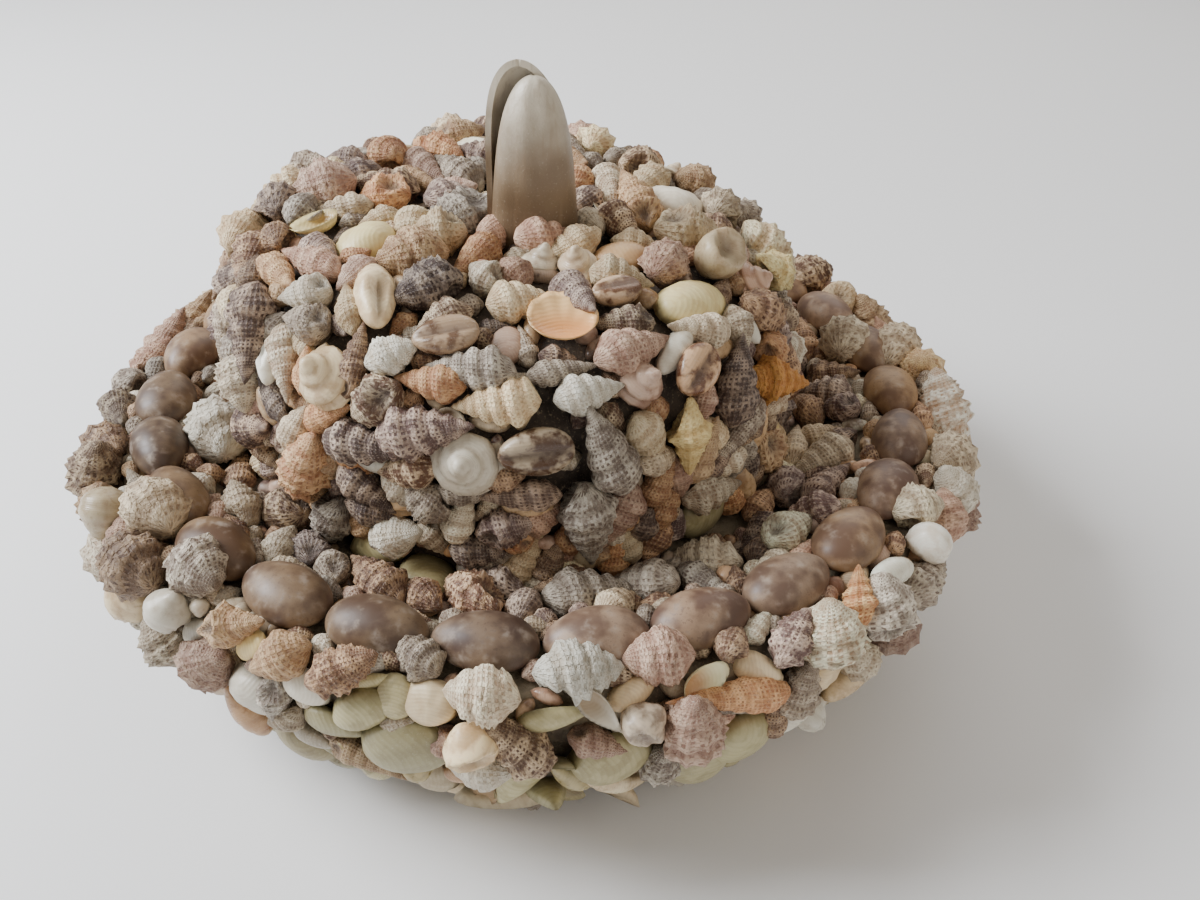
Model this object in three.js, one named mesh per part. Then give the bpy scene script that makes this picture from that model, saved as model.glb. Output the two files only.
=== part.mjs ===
// A wide, low bowl and its drum-shaped lid, both covered all over with sea shells.
// Millimetres, +Z up. The origin is at the middle of the flat underside, and -Y is the front.
import * as THREE from "three";
import { ConvexHull } from "three/addons/math/ConvexHull.js";

// Bowl: the putty surface that the shells are set in, and the hollow inside it.
const baseRadius = 98;
const bowlRadius = 165;
const shoulderHeight = 70;
const bowlRoundness = 2.5;
const bowlWall = 13;
const floorThickness = 11;
const mouthRadius = 84;
const flangeThickness = 12;

// Rim: a flat land under the cowries, and a ledge inside it that carries the lid.
const ringRadius = 146;
const landWidth = 25;
const landHeight = 82;
const ledgeHeight = 74;
const ledgeOuterRadius = 118;

// Lid: a drum with a rounded shoulder, a little left of the bowl's axis.
const lidOffset = -7;
const lidRadius = 102;
const lidHeight = 86;
const lidRoundness = 4.5;
const lidWall = 7;
const lidHemHeight = 6;

// Shells of the crust, as long as most of the real ones, and how far they stand out of the putty.
const shellLength = 25;
const shellPitch = 24;
const rowPitch = 16;
const shellRelief = 8.5;

// Cowries on the rim.
const cowrieLength = 33.4;
const cowrieWidth = 22;
const cowrieHeight = 16;
const cowrieGap = 0.5;
const firstCowrieAngle = 10.4;

// Knob: two long half shells back to back on a bare spot of the lid, in front of the lid's middle.
const knobLength = 66;
const knobWidth = 29;
const knobDepth = 9.5;
const knobWall = 2.6;
const knobSpacing = 2;
const knobStep = 5;
const knobForward = 14;
const knobSeatMargin = 2;

const seatGap = 0.3;
const degree = Math.PI / 180;

// The largest shells that are glued on. around is the angle round the vessel, up the share of the way
// up its covered outside, turn the way the apex points: 0 to the right, 90 up, seen from outside.
const lidShells = [
  { kind: "conch", around: -59, up: 0.3, turn: -80, length: 31, width: 20 },
  { kind: "conch", around: -35, up: 0.3, turn: -5, length: 27, width: 16 },
  { kind: "cerith", around: -92, up: 0.42, turn: 180, length: 30, width: 14 },
  { kind: "cerith", around: -74, up: 0.3, turn: 120, length: 29, width: 14 },
  { kind: "cerith", around: -106, up: 0.36, turn: 0, length: 30, width: 14 },
  { kind: "cerith", around: -46, up: 0.2, turn: -60, length: 36, width: 16 },
  { kind: "cerith", around: -120, up: 0.33, turn: 0, length: 28, width: 15 },
  { kind: "cerith", around: 60, up: 0.35, turn: 150, length: 30, width: 15 },
  { kind: "cerith", around: 140, up: 0.3, turn: 20, length: 30, width: 15 },
  { kind: "round", around: -126, up: 0.42, turn: 0, length: 22, width: 20 },
  { kind: "round", around: -98, up: 0.29, turn: 0, length: 20, width: 19 },
  { kind: "round", around: -86, up: 0.31, turn: 0, length: 26, width: 17 },
  { kind: "round", around: -79, up: 0.53, turn: 40, length: 22, width: 18 },
  { kind: "round", around: -46, up: 0.52, turn: 10, length: 24, width: 16 },
  { kind: "round", around: 6, up: 0.68, turn: 0, length: 24, width: 21 },
];
const bowlShells = [
  { kind: "conch", around: -123, up: 0.9, turn: 160, length: 27, width: 20 },
  { kind: "conch", around: -110, up: 0.9, turn: 0, length: 25, width: 17 },
  { kind: "round", around: -95, up: 0.89, turn: 0, length: 24, width: 20 },
  { kind: "conch", around: -86, up: 0.9, turn: 0, length: 28, width: 17 },
  { kind: "round", around: -77, up: 0.89, turn: 0, length: 25, width: 19 },
  { kind: "cerith", around: -71, up: 0.85, turn: 188, length: 36, width: 13 },
  { kind: "cerith", around: -63, up: 0.86, turn: 45, length: 24, width: 16 },
  { kind: "conch", around: -53, up: 0.86, turn: 90, length: 26, width: 18 },
  { kind: "round", around: -97, up: 0.78, turn: 0, length: 20, width: 18 },
  { kind: "round", around: -131, up: 0.89, turn: 0, length: 18, width: 16 },
  { kind: "cerith", around: -144, up: 0.86, turn: 100, length: 26, width: 15 },
  { kind: "conch", around: 75, up: 0.89, turn: 30, length: 27, width: 17 },
];

// Outlines of large shells, mouth to apex: [share of the length, share of the full width].
const outlines = {
  conch: [[0, 0], [0.14, 0.5], [0.34, 1], [0.5, 0.62], [0.6, 0.72], [0.78, 0.36], [1, 0]],
  cerith: [[0, 0], [0.14, 0.8], [0.3, 1], [0.4, 0.76], [0.52, 0.8], [0.72, 0.48], [1, 0]],
  round: [[0, 0], [0.2, 0.82], [0.5, 1], [0.8, 0.82], [1, 0]],
};

const colours = {
  bowl: 0xb7a894,
  lid: 0xb09d8c,
  cowrie: 0x9a8375,
  knob: 0xd9cbb4,
};

// A repeatable number from 0 to 1 for shell number i and trait j.
function chance(i, j) {
  const s = Math.sin(i * 12.9898 + j * 78.233) * 43758.5453;
  return s - Math.floor(s);
}

// A quarter of a rounded box profile, from the crown (r0, z0 + height) down to (r1, z0), as [r, z] points.
function roundedWall(r0, r1, z0, height, roundness, steps) {
  const points = [];
  for (let i = 0; i <= steps; i++) {
    const t = (1 - i / steps) * Math.PI / 2;
    const out = Math.pow(Math.cos(t), 2 / roundness);
    const up = Math.pow(Math.sin(t), 2 / roundness);
    points.push([r0 + (r1 - r0) * out, z0 + height * up]);
  }
  return points;
}

// A closed profile from the axis to the axis, with the distance run along it and a stretched
// coordinate in which round pieces of the turned surface stay round.
class Profile {
  constructor(points) {
    this.points = points;
    this.run = [0];
    this.stretch = [0];
    for (let i = 1; i < points.length; i++) {
      const [r0, z0] = points[i - 1];
      const [r1, z1] = points[i];
      const step = Math.hypot(r1 - r0, z1 - z0);
      const middle = Math.max((r0 + r1) / 2, 1);
      this.run.push(this.run[i - 1] + step);
      this.stretch.push(this.stretch[i - 1] + step / middle);
    }
    this.half = this.stretch[this.stretch.length - 1] / 2;
  }

  // The point, outward normal and latitude at a distance along the profile.
  at(distance) {
    let i = 1;
    while (i < this.run.length - 1 && this.run[i] < distance) i++;
    const share = (distance - this.run[i - 1]) / (this.run[i] - this.run[i - 1]);
    const [r0, z0] = this.points[i - 1];
    const [r1, z1] = this.points[i];
    const length = this.run[i] - this.run[i - 1];
    const stretch = this.stretch[i - 1] + (this.stretch[i] - this.stretch[i - 1]) * share;
    return {
      r: r0 + (r1 - r0) * share,
      z: z0 + (z1 - z0) * share,
      normal: [(z1 - z0) / length, -(r1 - r0) / length],
      latitude: 2 * Math.atan(Math.exp(stretch - this.half)),
    };
  }
}

// Spots on a turned surface: each has its real place, and a place on a sphere whose hull joins them.
class Skin {
  constructor(profile, lowest = 0) {
    this.profile = profile;
    this.lowest = lowest;
    this.bare = [];
    this.places = [];
    this.onSphere = [];
  }

  spot(distance, angle, height = 0) {
    const { r, z, normal, latitude } = this.profile.at(distance);
    const reach = r + normal[0] * height;
    const place = new THREE.Vector3(
      reach * Math.cos(angle), reach * Math.sin(angle), Math.max(z + normal[1] * height, this.lowest));
    if (this.bare.some((sphere) => sphere.containsPoint(place))) return;
    this.places.push(place);
    this.onSphere.push(new THREE.Vector3(
      Math.sin(latitude) * Math.cos(angle), Math.sin(latitude) * Math.sin(angle), -Math.cos(latitude)));
  }

  ring(distance, count, turn = 0) {
    for (let i = 0; i < count; i++) this.spot(distance, (i + turn) / count * 2 * Math.PI);
  }

  // A bare disc on the flat top, off the axis, which no later spot falls on.
  bareDisc(x, y, radius, height, count) {
    const end = this.profile.run[this.profile.run.length - 1];
    const centre = new THREE.Vector3(x, y, height);
    for (let i = 0; i < count; i++) {
      const turn = i / count * 2 * Math.PI;
      const edge = new THREE.Vector2(x + radius * Math.cos(turn), y + radius * Math.sin(turn));
      this.spot(end - edge.length(), edge.angle());
    }
    this.bare.push(new THREE.Sphere(centre, radius + shellRelief / 2));
  }

  // Large shells over a stretch of the profile: high spots along and across each one's outline,
  // which later small shells are kept from.
  placeLarge(shells, from, to) {
    for (const { kind, around, up, turn, length, width } of shells) {
      const middle = from + (to - from) * up;
      const foot = this.profile.at(middle);
      const angle = around * degree;
      const ahead = Math.cos(turn * degree);
      const rise = Math.sin(turn * degree);
      for (const [along, girth] of outlines[kind]) {
        for (const across of girth > 0 ? [-1, 0, 1] : [0]) {
          const x = (along - 0.5) * length;
          const y = across * girth * width / 2;
          const height = girth * width * (across === 0 ? 0.62 : 0.3);
          this.spot(middle + x * rise + y * ahead, angle + (x * ahead - y * rise) / foot.r, height);
        }
      }
    }
    for (const { around, up, length } of shells) {
      const { r, z, normal } = this.profile.at(from + (to - from) * up);
      const reach = r + normal[0] * shellRelief / 2;
      const angle = around * degree;
      const centre = new THREE.Vector3(
        reach * Math.cos(angle), reach * Math.sin(angle), z + normal[1] * shellRelief / 2);
      this.bare.push(new THREE.Sphere(centre, length * 0.45));
    }
  }

  // A row of shells round the surface: a ridge of two high spots for each, and low spots round it.
  row(distance, width, seed, relief = shellRelief) {
    const { r } = this.profile.at(distance);
    const count = Math.max(3, Math.round(2 * Math.PI * r / shellPitch));
    const step = 2 * Math.PI / count;
    for (let i = 0; i < count; i++) {
      const shell = seed * 97 + i;
      const angle = (i + (seed % 2) / 2 + 0.12 * chance(shell, 1)) * step;
      const spin = (chance(shell, 2) - 0.5) * 2.4;
      const reach = shellLength * (0.2 + 0.08 * chance(shell, 3));
      const height = relief * (0.7 + 0.3 * chance(shell, 4));
      const side = chance(shell, 5) < 0.5 ? -1 : 1;
      const along = reach * Math.cos(spin) * side / r;
      const across = Math.min(width * 0.3, reach) * Math.sin(spin);
      this.spot(distance - across, angle - along, height * 0.7);
      this.spot(distance + across * 0.8, angle + along * 0.8, height);
      this.spot(distance - width * 0.2, angle + step * 0.5);
      this.spot(distance + width * 0.2, angle + step * 0.5);
      this.spot(distance + width / 2, angle);
    }
  }

  // The closed solid through all the spots.
  solid() {
    const hull = new ConvexHull().setFromPoints(this.onSphere);
    const index = new Map(this.onSphere.map((point, i) => [point, i]));
    const corners = [];
    for (const face of hull.faces) {
      let edge = face.edge;
      do {
        corners.push(index.get(edge.head().point));
        edge = edge.next;
      } while (edge !== face.edge);
    }
    const positions = this.places.flatMap((p) => [p.x, p.y, p.z]);
    const geometry = new THREE.BufferGeometry();
    geometry.setAttribute("position", new THREE.Float32BufferAttribute(positions, 3));
    geometry.setIndex(corners);
    return geometry;
  }
}

// Rows of shells over a stretch of the profile, as many as fit.
function cover(skin, from, to, seed, relief) {
  const count = Math.max(1, Math.round(Math.abs(to - from) / rowPitch));
  const width = (to - from) / count;
  for (let i = 0; i < count; i++) skin.row(from + (i + 0.5) * width, width, seed + i, relief);
}

function node(name, geometry, colour, roughness) {
  const material = new THREE.MeshStandardMaterial({ color: colour, roughness, metalness: 0 });
  const mesh = new THREE.Mesh(geometry, material);
  mesh.name = name;
  return mesh;
}

// The bowl: flat underside, shell-covered wall, land, inner slope, ledge, and the hollow under the flange.
function bowlGeometry() {
  const landOuter = ringRadius + landWidth / 2;
  const landInner = ringRadius - landWidth / 2;
  const wall = roundedWall(baseRadius, bowlRadius, 0, shoulderHeight, bowlRoundness, 14)
    .map(([r, z]) => [r, shoulderHeight - z]);
  const shoulder = roundedWall(landOuter, bowlRadius, shoulderHeight, landHeight - shoulderHeight, 2, 4)
    .reverse().slice(1, -1);
  const hollowTop = ledgeHeight - flangeThickness;
  const hollow = roundedWall(baseRadius - bowlWall, bowlRadius - bowlWall, 0,
    hollowTop - floorThickness, bowlRoundness, 10).map(([r, z]) => [r, hollowTop - z]);
  const outside = [[0, 0], [baseRadius / 2, 0], ...wall, ...shoulder];
  const rim = [[landOuter, landHeight], [landInner, landHeight],
    [ledgeOuterRadius, ledgeHeight], [mouthRadius, ledgeHeight], [mouthRadius, hollowTop]];
  const inside = [...hollow.reverse(), [baseRadius / 2, floorThickness], [0, floorThickness]];
  const profile = new Profile([...outside, ...rim, ...inside]);
  const start = profile.run[2];
  const wallEnd = profile.run[outside.length - 1];
  const rimRun = rim.map((_, i) => profile.run[outside.length + i]);
  const skin = new Skin(profile);

  skin.placeLarge(bowlShells, start, wallEnd);
  skin.spot(0, 0);
  skin.ring(start, 40);
  cover(skin, start + 2, wallEnd - 1, 1);
  skin.ring(rimRun[0], 76);
  skin.ring(rimRun[1], 76);
  cover(skin, rimRun[1] + 1, rimRun[2] - 1, 21, shellRelief * 0.8);
  skin.ring(rimRun[2], 66);
  skin.ring(rimRun[3], 44);
  skin.ring(rimRun[4], 44);
  const first = outside.length + rim.length;
  for (let i = 0; i < hollow.length; i += 2) skin.ring(profile.run[first + i], 36, (i / 2 % 2) / 2);
  skin.spot(profile.run[profile.run.length - 1], 0);
  return skin.solid();
}

// The lid: a flat hem on the ledge, a shell-covered drum, and a bare seat on top for the knob.
// It is made about its own axis and then moved off the bowl's.
const lidFoot = ledgeHeight + seatGap;
const knobSeatRadius = (knobWidth + knobStep) / 2 + knobSeatMargin;

function lidGeometry() {
  const crown = lidHeight - lidHemHeight;
  const shell = roundedWall(0, lidRadius, lidFoot + lidHemHeight, crown, lidRoundness, 22);
  const hollow = roundedWall(0, lidRadius - lidWall, lidFoot, lidHeight - lidWall, lidRoundness, 12);
  const hem = [[lidRadius, lidFoot], [lidRadius - lidWall, lidFoot]];
  const profile = new Profile([...hollow, hem[1], hem[0], ...shell.reverse()]);
  const innerEnd = profile.run[hollow.length - 1];
  const hemEnd = profile.run[hollow.length + 1];
  const hemTop = profile.run[hollow.length + 2];
  const end = profile.run[profile.run.length - 1];
  const skin = new Skin(profile);

  skin.spot(0, 0);
  for (let i = 3; i < hollow.length - 1; i += 2) skin.ring(profile.run[i], 24, (i % 4) / 4);
  skin.ring(innerEnd, 36);
  skin.ring(hemEnd, 36);
  skin.ring(hemTop, 36, 0.5);
  skin.bareDisc(-lidOffset - knobStep / 2, -knobForward, knobSeatRadius, lidFoot + lidHeight, 14);
  skin.placeLarge(lidShells, hemTop, end);
  cover(skin, hemTop + 2, end - 4, 41);
  return skin.solid();
}

// A cowrie: an egg-shaped dome over a flatter underside, wider towards one end.
function cowrieGeometry() {
  const geometry = new THREE.SphereGeometry(1, 8, 6);
  geometry.rotateZ(Math.PI / 2);
  const place = geometry.getAttribute("position");
  const bellyHeight = cowrieHeight * 0.4;
  for (let i = 0; i < place.count; i++) {
    const x = place.getX(i);
    const swell = 1 + 0.12 * x;
    const z = place.getZ(i);
    place.setXYZ(i, x * cowrieLength / 2, place.getY(i) * swell * cowrieWidth / 2,
      bellyHeight + z * (z > 0 ? cowrieHeight - bellyHeight : bellyHeight));
  }
  return geometry;
}

// A long half shell standing on its wide end: a curved wall that narrows to a rounded tip.
// It bulges towards -Y, and its inner face is the outer one moved in by the wall.
function knobShellGeometry() {
  const steps = 7;
  const sides = 6;
  const positions = [];
  for (const inward of [0, knobWall]) {
    for (let i = 0; i <= steps; i++) {
      const up = Math.sin(i / steps * Math.PI / 2);
      const half = (knobWidth / 2) * Math.sqrt(Math.max(1 - Math.pow(up, 7), 0.06)) * (1 - 0.28 * up);
      const depth = knobDepth * (1 - 0.45 * up * up);
      for (let j = 0; j <= sides; j++) {
        const turn = (j / sides - 0.5) * Math.PI;
        const shrink = 1 - inward / half;
        const drop = inward * 0.6 * up;
        positions.push(half * Math.sin(turn) * shrink,
          -depth * Math.cos(turn) + inward * Math.cos(turn), knobLength * up - drop);
      }
    }
  }
  const index = [];
  const width = sides + 1;
  const layer = width * (steps + 1);
  const quad = (a, b, c, d) => index.push(a, b, c, a, c, d);
  for (let i = 0; i < steps; i++) {
    for (let j = 0; j < sides; j++) {
      const a = i * width + j;
      quad(a, a + 1, a + 1 + width, a + width);
      quad(layer + a, layer + a + width, layer + a + 1 + width, layer + a + 1);
    }
    const left = i * width;
    const right = left + sides;
    quad(left, left + width, layer + left + width, layer + left);
    quad(right, layer + right, layer + right + width, right + width);
  }
  for (let j = 0; j < sides; j++) {
    const top = steps * width + j;
    quad(j, layer + j, layer + j + 1, j + 1);
    quad(top, top + 1, layer + top + 1, layer + top);
  }
  const geometry = new THREE.BufferGeometry();
  geometry.setAttribute("position", new THREE.Float32BufferAttribute(positions, 3));
  geometry.setIndex(index);
  return geometry;
}

const group = new THREE.Group();
group.add(node("bowl", bowlGeometry(), colours.bowl, 0.7));

const lid = new THREE.Group();
lid.position.x = lidOffset;
lid.add(node("lid", lidGeometry(), colours.lid, 0.7));
const seat = lidFoot + lidHeight + seatGap;
const halves = [
  { name: "knob_shell_front", x: 0, y: -knobSpacing / 2, turn: 0 },
  { name: "knob_shell_back", x: -knobStep, y: knobSpacing / 2, turn: Math.PI },
];
for (const half of halves) {
  const shell = node(half.name, knobShellGeometry(), colours.knob, 0.35);
  shell.position.set(-lidOffset + half.x, -knobForward + half.y, seat);
  shell.rotation.z = half.turn;
  lid.add(shell);
}
group.add(lid);

const cowrieCount = Math.floor(2 * Math.PI * ringRadius / (cowrieLength + cowrieGap));
for (let i = 0; i < cowrieCount; i++) {
  const angle = (firstCowrieAngle + i * 360 / cowrieCount) * degree;
  const name = "rim_cowrie_" + String(i + 1).padStart(2, "0");
  const cowrie = node(name, cowrieGeometry(), colours.cowrie, 0.3);
  cowrie.position.set(ringRadius * Math.cos(angle), ringRadius * Math.sin(angle), landHeight + seatGap);
  cowrie.rotation.z = angle + Math.PI / 2;
  group.add(cowrie);
}
export default group;
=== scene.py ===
import math
import random

import bpy
import numpy as np
from mathutils import Matrix, Vector


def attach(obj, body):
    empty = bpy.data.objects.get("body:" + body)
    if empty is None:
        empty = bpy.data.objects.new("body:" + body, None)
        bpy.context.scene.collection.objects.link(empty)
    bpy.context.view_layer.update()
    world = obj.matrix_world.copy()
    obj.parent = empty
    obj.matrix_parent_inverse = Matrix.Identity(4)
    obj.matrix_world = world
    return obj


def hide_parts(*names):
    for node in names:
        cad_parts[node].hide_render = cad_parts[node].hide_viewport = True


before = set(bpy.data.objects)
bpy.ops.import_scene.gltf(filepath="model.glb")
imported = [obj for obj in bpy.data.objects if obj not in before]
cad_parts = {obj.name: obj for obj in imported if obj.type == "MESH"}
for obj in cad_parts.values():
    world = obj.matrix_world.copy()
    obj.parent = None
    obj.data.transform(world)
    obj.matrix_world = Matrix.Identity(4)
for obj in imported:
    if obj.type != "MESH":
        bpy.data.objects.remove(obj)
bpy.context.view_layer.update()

chance = random.Random(27)

# The view. The picture looks down on the front of the bowl from a little left of straight ahead.
# Shells that stand out in the picture are placed by where they are seen, so the camera comes first.
FRAME_WIDTH, FRAME_HEIGHT = 1200, 900
SENSOR_MM, LENS_MM = 36.0, 33.0
CAMERA_PLACE = Vector((0.0, -0.3818, 0.3314))
HEADING, LOOK_DOWN, CAMERA_ROLL = math.radians(4.07), math.radians(35.8), math.radians(1.95)

turn = (Matrix.Rotation(-HEADING, 3, "Z") @ Matrix.Rotation(math.pi / 2 - LOOK_DOWN, 3, "X")
        @ Matrix.Rotation(CAMERA_ROLL, 3, "Z"))
camera = bpy.data.objects.new("camera", bpy.data.cameras.new("camera"))
bpy.context.scene.collection.objects.link(camera)
camera.location = CAMERA_PLACE
camera.rotation_euler = turn.to_euler()
camera.data.sensor_width = SENSOR_MM
camera.data.lens = LENS_MM
bpy.context.scene.camera = camera


def seen_at(points):
    """Pixel x, pixel y and depth of points, in the 1200 by 900 picture."""
    local = (np.asarray(points) - np.array(CAMERA_PLACE)) @ np.array(turn)
    depth = -local[:, 2]
    focal = FRAME_WIDTH * LENS_MM / SENSOR_MM
    return (FRAME_WIDTH / 2 + focal * local[:, 0] / depth,
            FRAME_HEIGHT / 2 - focal * local[:, 1] / depth, depth)


# The bowl under its shells: a turned vessel of thick papier-mache with a flange and a lid ledge,
# coated outside in the grey-brown putty that holds the shells, and lined with plain pale paper.
BASE_RADIUS, BOWL_RADIUS, SHOULDER_HEIGHT, BOWL_ROUNDNESS = 0.093, 0.162, 0.070, 2.08
HOLLOW_FOOT_RADIUS, HOLLOW_RADIUS, HOLLOW_ROUNDNESS = 0.085, 0.152, 2.3
LAND_OUTER, LAND_INNER, LAND_HEIGHT = 0.1585, 0.1335, 0.082
LEDGE_RADIUS, LEDGE_HEIGHT, MOUTH_RADIUS, FLANGE = 0.118, 0.074, 0.084, 0.012
FLOOR_THICKNESS, SAME_PLACE = 0.011, 0.001


def rounded(inner, outer, foot, height, roundness, steps):
    """Profile points of a rounded quarter, from the crown at the inner radius down to the outer one."""
    points = []
    for i in range(steps + 1):
        t = (1 - i / steps) * math.pi / 2
        points.append((inner + (outer - inner) * math.cos(t) ** (2 / roundness),
                       foot + height * math.sin(t) ** (2 / roundness)))
    return points


def turned(name, profile, centre_x=0.0, sides=96):
    """A turned piece: a ring that is extruded and scaled along its profile, closed at both ends."""
    bpy.ops.object.select_all(action="DESELECT")
    radius, height = profile[0]
    bpy.ops.mesh.primitive_circle_add(vertices=sides, radius=radius, fill_type="TRIFAN",
                                      location=(centre_x, 0, height))
    piece = bpy.context.object
    piece.name = piece.data.name = name
    bpy.ops.object.transform_apply(location=True, rotation=False, scale=False)
    bpy.ops.object.mode_set(mode="EDIT")
    bpy.ops.mesh.select_all(action="SELECT")
    bpy.ops.mesh.region_to_loop()
    for (r0, z0), (r1, z1) in zip(profile, profile[1:]):
        bpy.ops.mesh.extrude_edges_move(TRANSFORM_OT_translate={"value": (0, 0, z1 - z0)})
        bpy.ops.transform.resize(value=(r1 / r0, r1 / r0, 1), center_override=(centre_x, 0, z1))
    bpy.ops.mesh.edge_face_add()
    bpy.ops.mesh.poke()
    bpy.ops.mesh.select_all(action="SELECT")
    bpy.ops.mesh.normals_make_consistent(inside=False)
    bpy.ops.object.mode_set(mode="OBJECT")
    bpy.ops.object.shade_smooth_by_angle(angle=math.radians(40))
    return piece


def shader(name):
    """A new material with its node tree and its main shader."""
    material = bpy.data.materials.new(name)
    material.use_nodes = True
    return material, material.node_tree, material.node_tree.nodes["Principled BSDF"]


def paint(red, green, blue):
    """A colour as the picture shows it, from 0 to 255, as the shaders take it."""
    return [((c / 255 + 0.055) / 1.055) ** 2.4 for c in (red, green, blue)]


def add(tree, kind, settings=None, inputs=None):
    """A shader node with its settings, its inputs given as values or as other nodes' outputs."""
    node = tree.nodes.new("ShaderNode" + kind)
    for key, value in (settings or {}).items():
        setattr(node, key, value)
    for key, value in (inputs or {}).items():
        if isinstance(value, bpy.types.NodeSocket):
            tree.links.new(value, node.inputs[key])
        else:
            node.inputs[key].default_value = value
    return node


def maths(tree, operation, *values):
    """One arithmetic node, its values given as numbers or as other nodes' outputs."""
    return add(tree, "Math", {"operation": operation}, dict(enumerate(values))).outputs[0]


def times(tree, first, second):
    return maths(tree, "MULTIPLY", first, second)


def plus(tree, first, second):
    return maths(tree, "ADD", first, second)


def blend(tree, share, first, second):
    """Goes from the first colour to the second by a share from 0 to 1."""
    node = add(tree, "Mix", {"data_type": "RGBA", "clamp_factor": True}, {0: share, 6: first, 7: second})
    return node.outputs[2]


def over(tree, shade, share, strength, colour):
    """Lays a colour over a shade by a share from 0 to 1, as strongly as that."""
    return blend(tree, times(tree, share, strength), shade, colour)


def ramp(tree, value, low, high, out_low=0.0, out_high=1.0):
    """A smooth step of a value between low and high, which may fall as well as rise."""
    node = add(tree, "MapRange", {"interpolation_type": "SMOOTHSTEP"},
               {"Value": value, "From Min": low, "From Max": high, "To Min": out_low, "To Max": out_high})
    return node.outputs["Result"]


def grain(tree, scale, detail=3.0, roughness=0.6):
    """Noise over the object's own place, as a value from 0 to 1."""
    place = add(tree, "TexCoord").outputs["Object"]
    node = add(tree, "TexNoise", {}, {"Vector": place, "Scale": scale, "Detail": detail,
                                      "Roughness": roughness})
    return node.outputs["Fac"]


def surface(tree, skin, colour, roughness, height, strength, depth):
    """Gives a shader its colour, its roughness, as a number or an output, and its fine relief."""
    tree.links.new(colour, skin.inputs["Base Color"])
    if isinstance(roughness, float):
        skin.inputs["Roughness"].default_value = roughness
    else:
        tree.links.new(roughness, skin.inputs["Roughness"])
    bump = add(tree, "Bump", {}, {"Strength": strength, "Distance": depth, "Height": height})
    tree.links.new(bump.outputs[0], skin.inputs["Normal"])


def putty_material(name, dark, pale):
    """Dried putty, blotchy, gritty and quite matt."""
    material, tree, skin = shader(name)
    blotch = grain(tree, 90.0)
    speck = grain(tree, 900.0)
    colour = blend(tree, ramp(tree, blotch, 0.35, 0.65), (*paint(*dark), 1), (*paint(*pale), 1))
    colour = blend(tree, ramp(tree, speck, 0.55, 0.75), colour, (*paint(150, 134, 112), 1))
    surface(tree, skin, colour, 0.85, speck, 0.7, 0.001)
    return material


def lining_material():
    """Plain pale paper, pasted on in layers."""
    material, tree, skin = shader("paper_lining")
    blotch = grain(tree, 40.0)
    fibre = grain(tree, 700.0)
    colour = blend(tree, ramp(tree, blotch, 0.3, 0.7), (0.50, 0.43, 0.33, 1), (0.60, 0.53, 0.43, 1))
    surface(tree, skin, colour, 0.75, fibre, 0.4, 0.0006)
    return material


putty = putty_material("dark_putty", (58, 50, 44), (98, 86, 74))
pale_putty = putty_material("pale_putty", (100, 88, 72), (156, 142, 118))
lining = lining_material()

wall_profile = [(r, SHOULDER_HEIGHT - z) for r, z in
                rounded(BASE_RADIUS, BOWL_RADIUS, 0, SHOULDER_HEIGHT, BOWL_ROUNDNESS, 16)]
shoulder = [point for point in rounded(LAND_OUTER, BOWL_RADIUS, SHOULDER_HEIGHT,
                                       LAND_HEIGHT - SHOULDER_HEIGHT, 2, 5)][::-1]
hollow_top = LEDGE_HEIGHT - FLANGE
hollow = [(r, hollow_top - z) for r, z in
          rounded(HOLLOW_FOOT_RADIUS, HOLLOW_RADIUS, 0, hollow_top - FLOOR_THICKNESS,
                  HOLLOW_ROUNDNESS, 12)][::-1]
outside_profile = wall_profile + shoulder[1:]
slope_profile = [(LAND_INNER, LAND_HEIGHT), (LEDGE_RADIUS, LEDGE_HEIGHT)]
bowl_vessel = turned("bowl_vessel", outside_profile + slope_profile
                     + [(MOUTH_RADIUS, LEDGE_HEIGHT), (MOUTH_RADIUS, hollow_top)] + hollow)
bowl_vessel.data.materials.append(pale_putty)
bowl_vessel.data.materials.append(lining)
for face in bowl_vessel.data.polygons:
    reach = math.hypot(face.center.x, face.center.y)
    outward = face.normal.x * face.center.x + face.normal.y * face.center.y > 0
    above_floor = face.center.z > SAME_PLACE and face.normal.z > -0.99
    crusted = above_floor and (outward or reach > MOUTH_RADIUS + SAME_PLACE)
    in_hollow = reach < HOLLOW_RADIUS + SAME_PLACE and face.center.z < hollow_top + SAME_PLACE
    lined = in_hollow and not (outward and reach > HOLLOW_FOOT_RADIUS + 2 * SAME_PLACE)
    face.material_index = 1 if lined or not crusted else 0
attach(bowl_vessel, "root")
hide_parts("bowl")

# The lid under its shells: a thin turned drum with a rounded shoulder, of the same putty-coated
# papier-mache, which stands on the ledge a little left of the bowl's middle and lifts off.
LID_X, LID_FOOT, LID_RADIUS, LID_HEIGHT, LID_ROUNDNESS = -0.007, 0.0743, 0.099, 0.084, 4.5
LID_WALL, LID_HEM = 0.005, 0.006

lid_outside = rounded(0.0005, LID_RADIUS, LID_FOOT + LID_HEM, LID_HEIGHT - LID_HEM, LID_ROUNDNESS, 26)
lid_hollow = rounded(0.0005, LID_RADIUS - LID_WALL, LID_FOOT, LID_HEIGHT - LID_WALL, LID_ROUNDNESS, 20)
# The crust stands thicker on the shoulder of the lid at the back and left.
BUILD_UP, BUILD_UP_ALL_ROUND, BUILD_UP_ANGLE = 0.0055, 0.0035, 2.5
BUILD_UP_RUN, BUILD_UP_SPREAD, UNDER_SHELLS = 0.088, 0.035, 0.9


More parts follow.
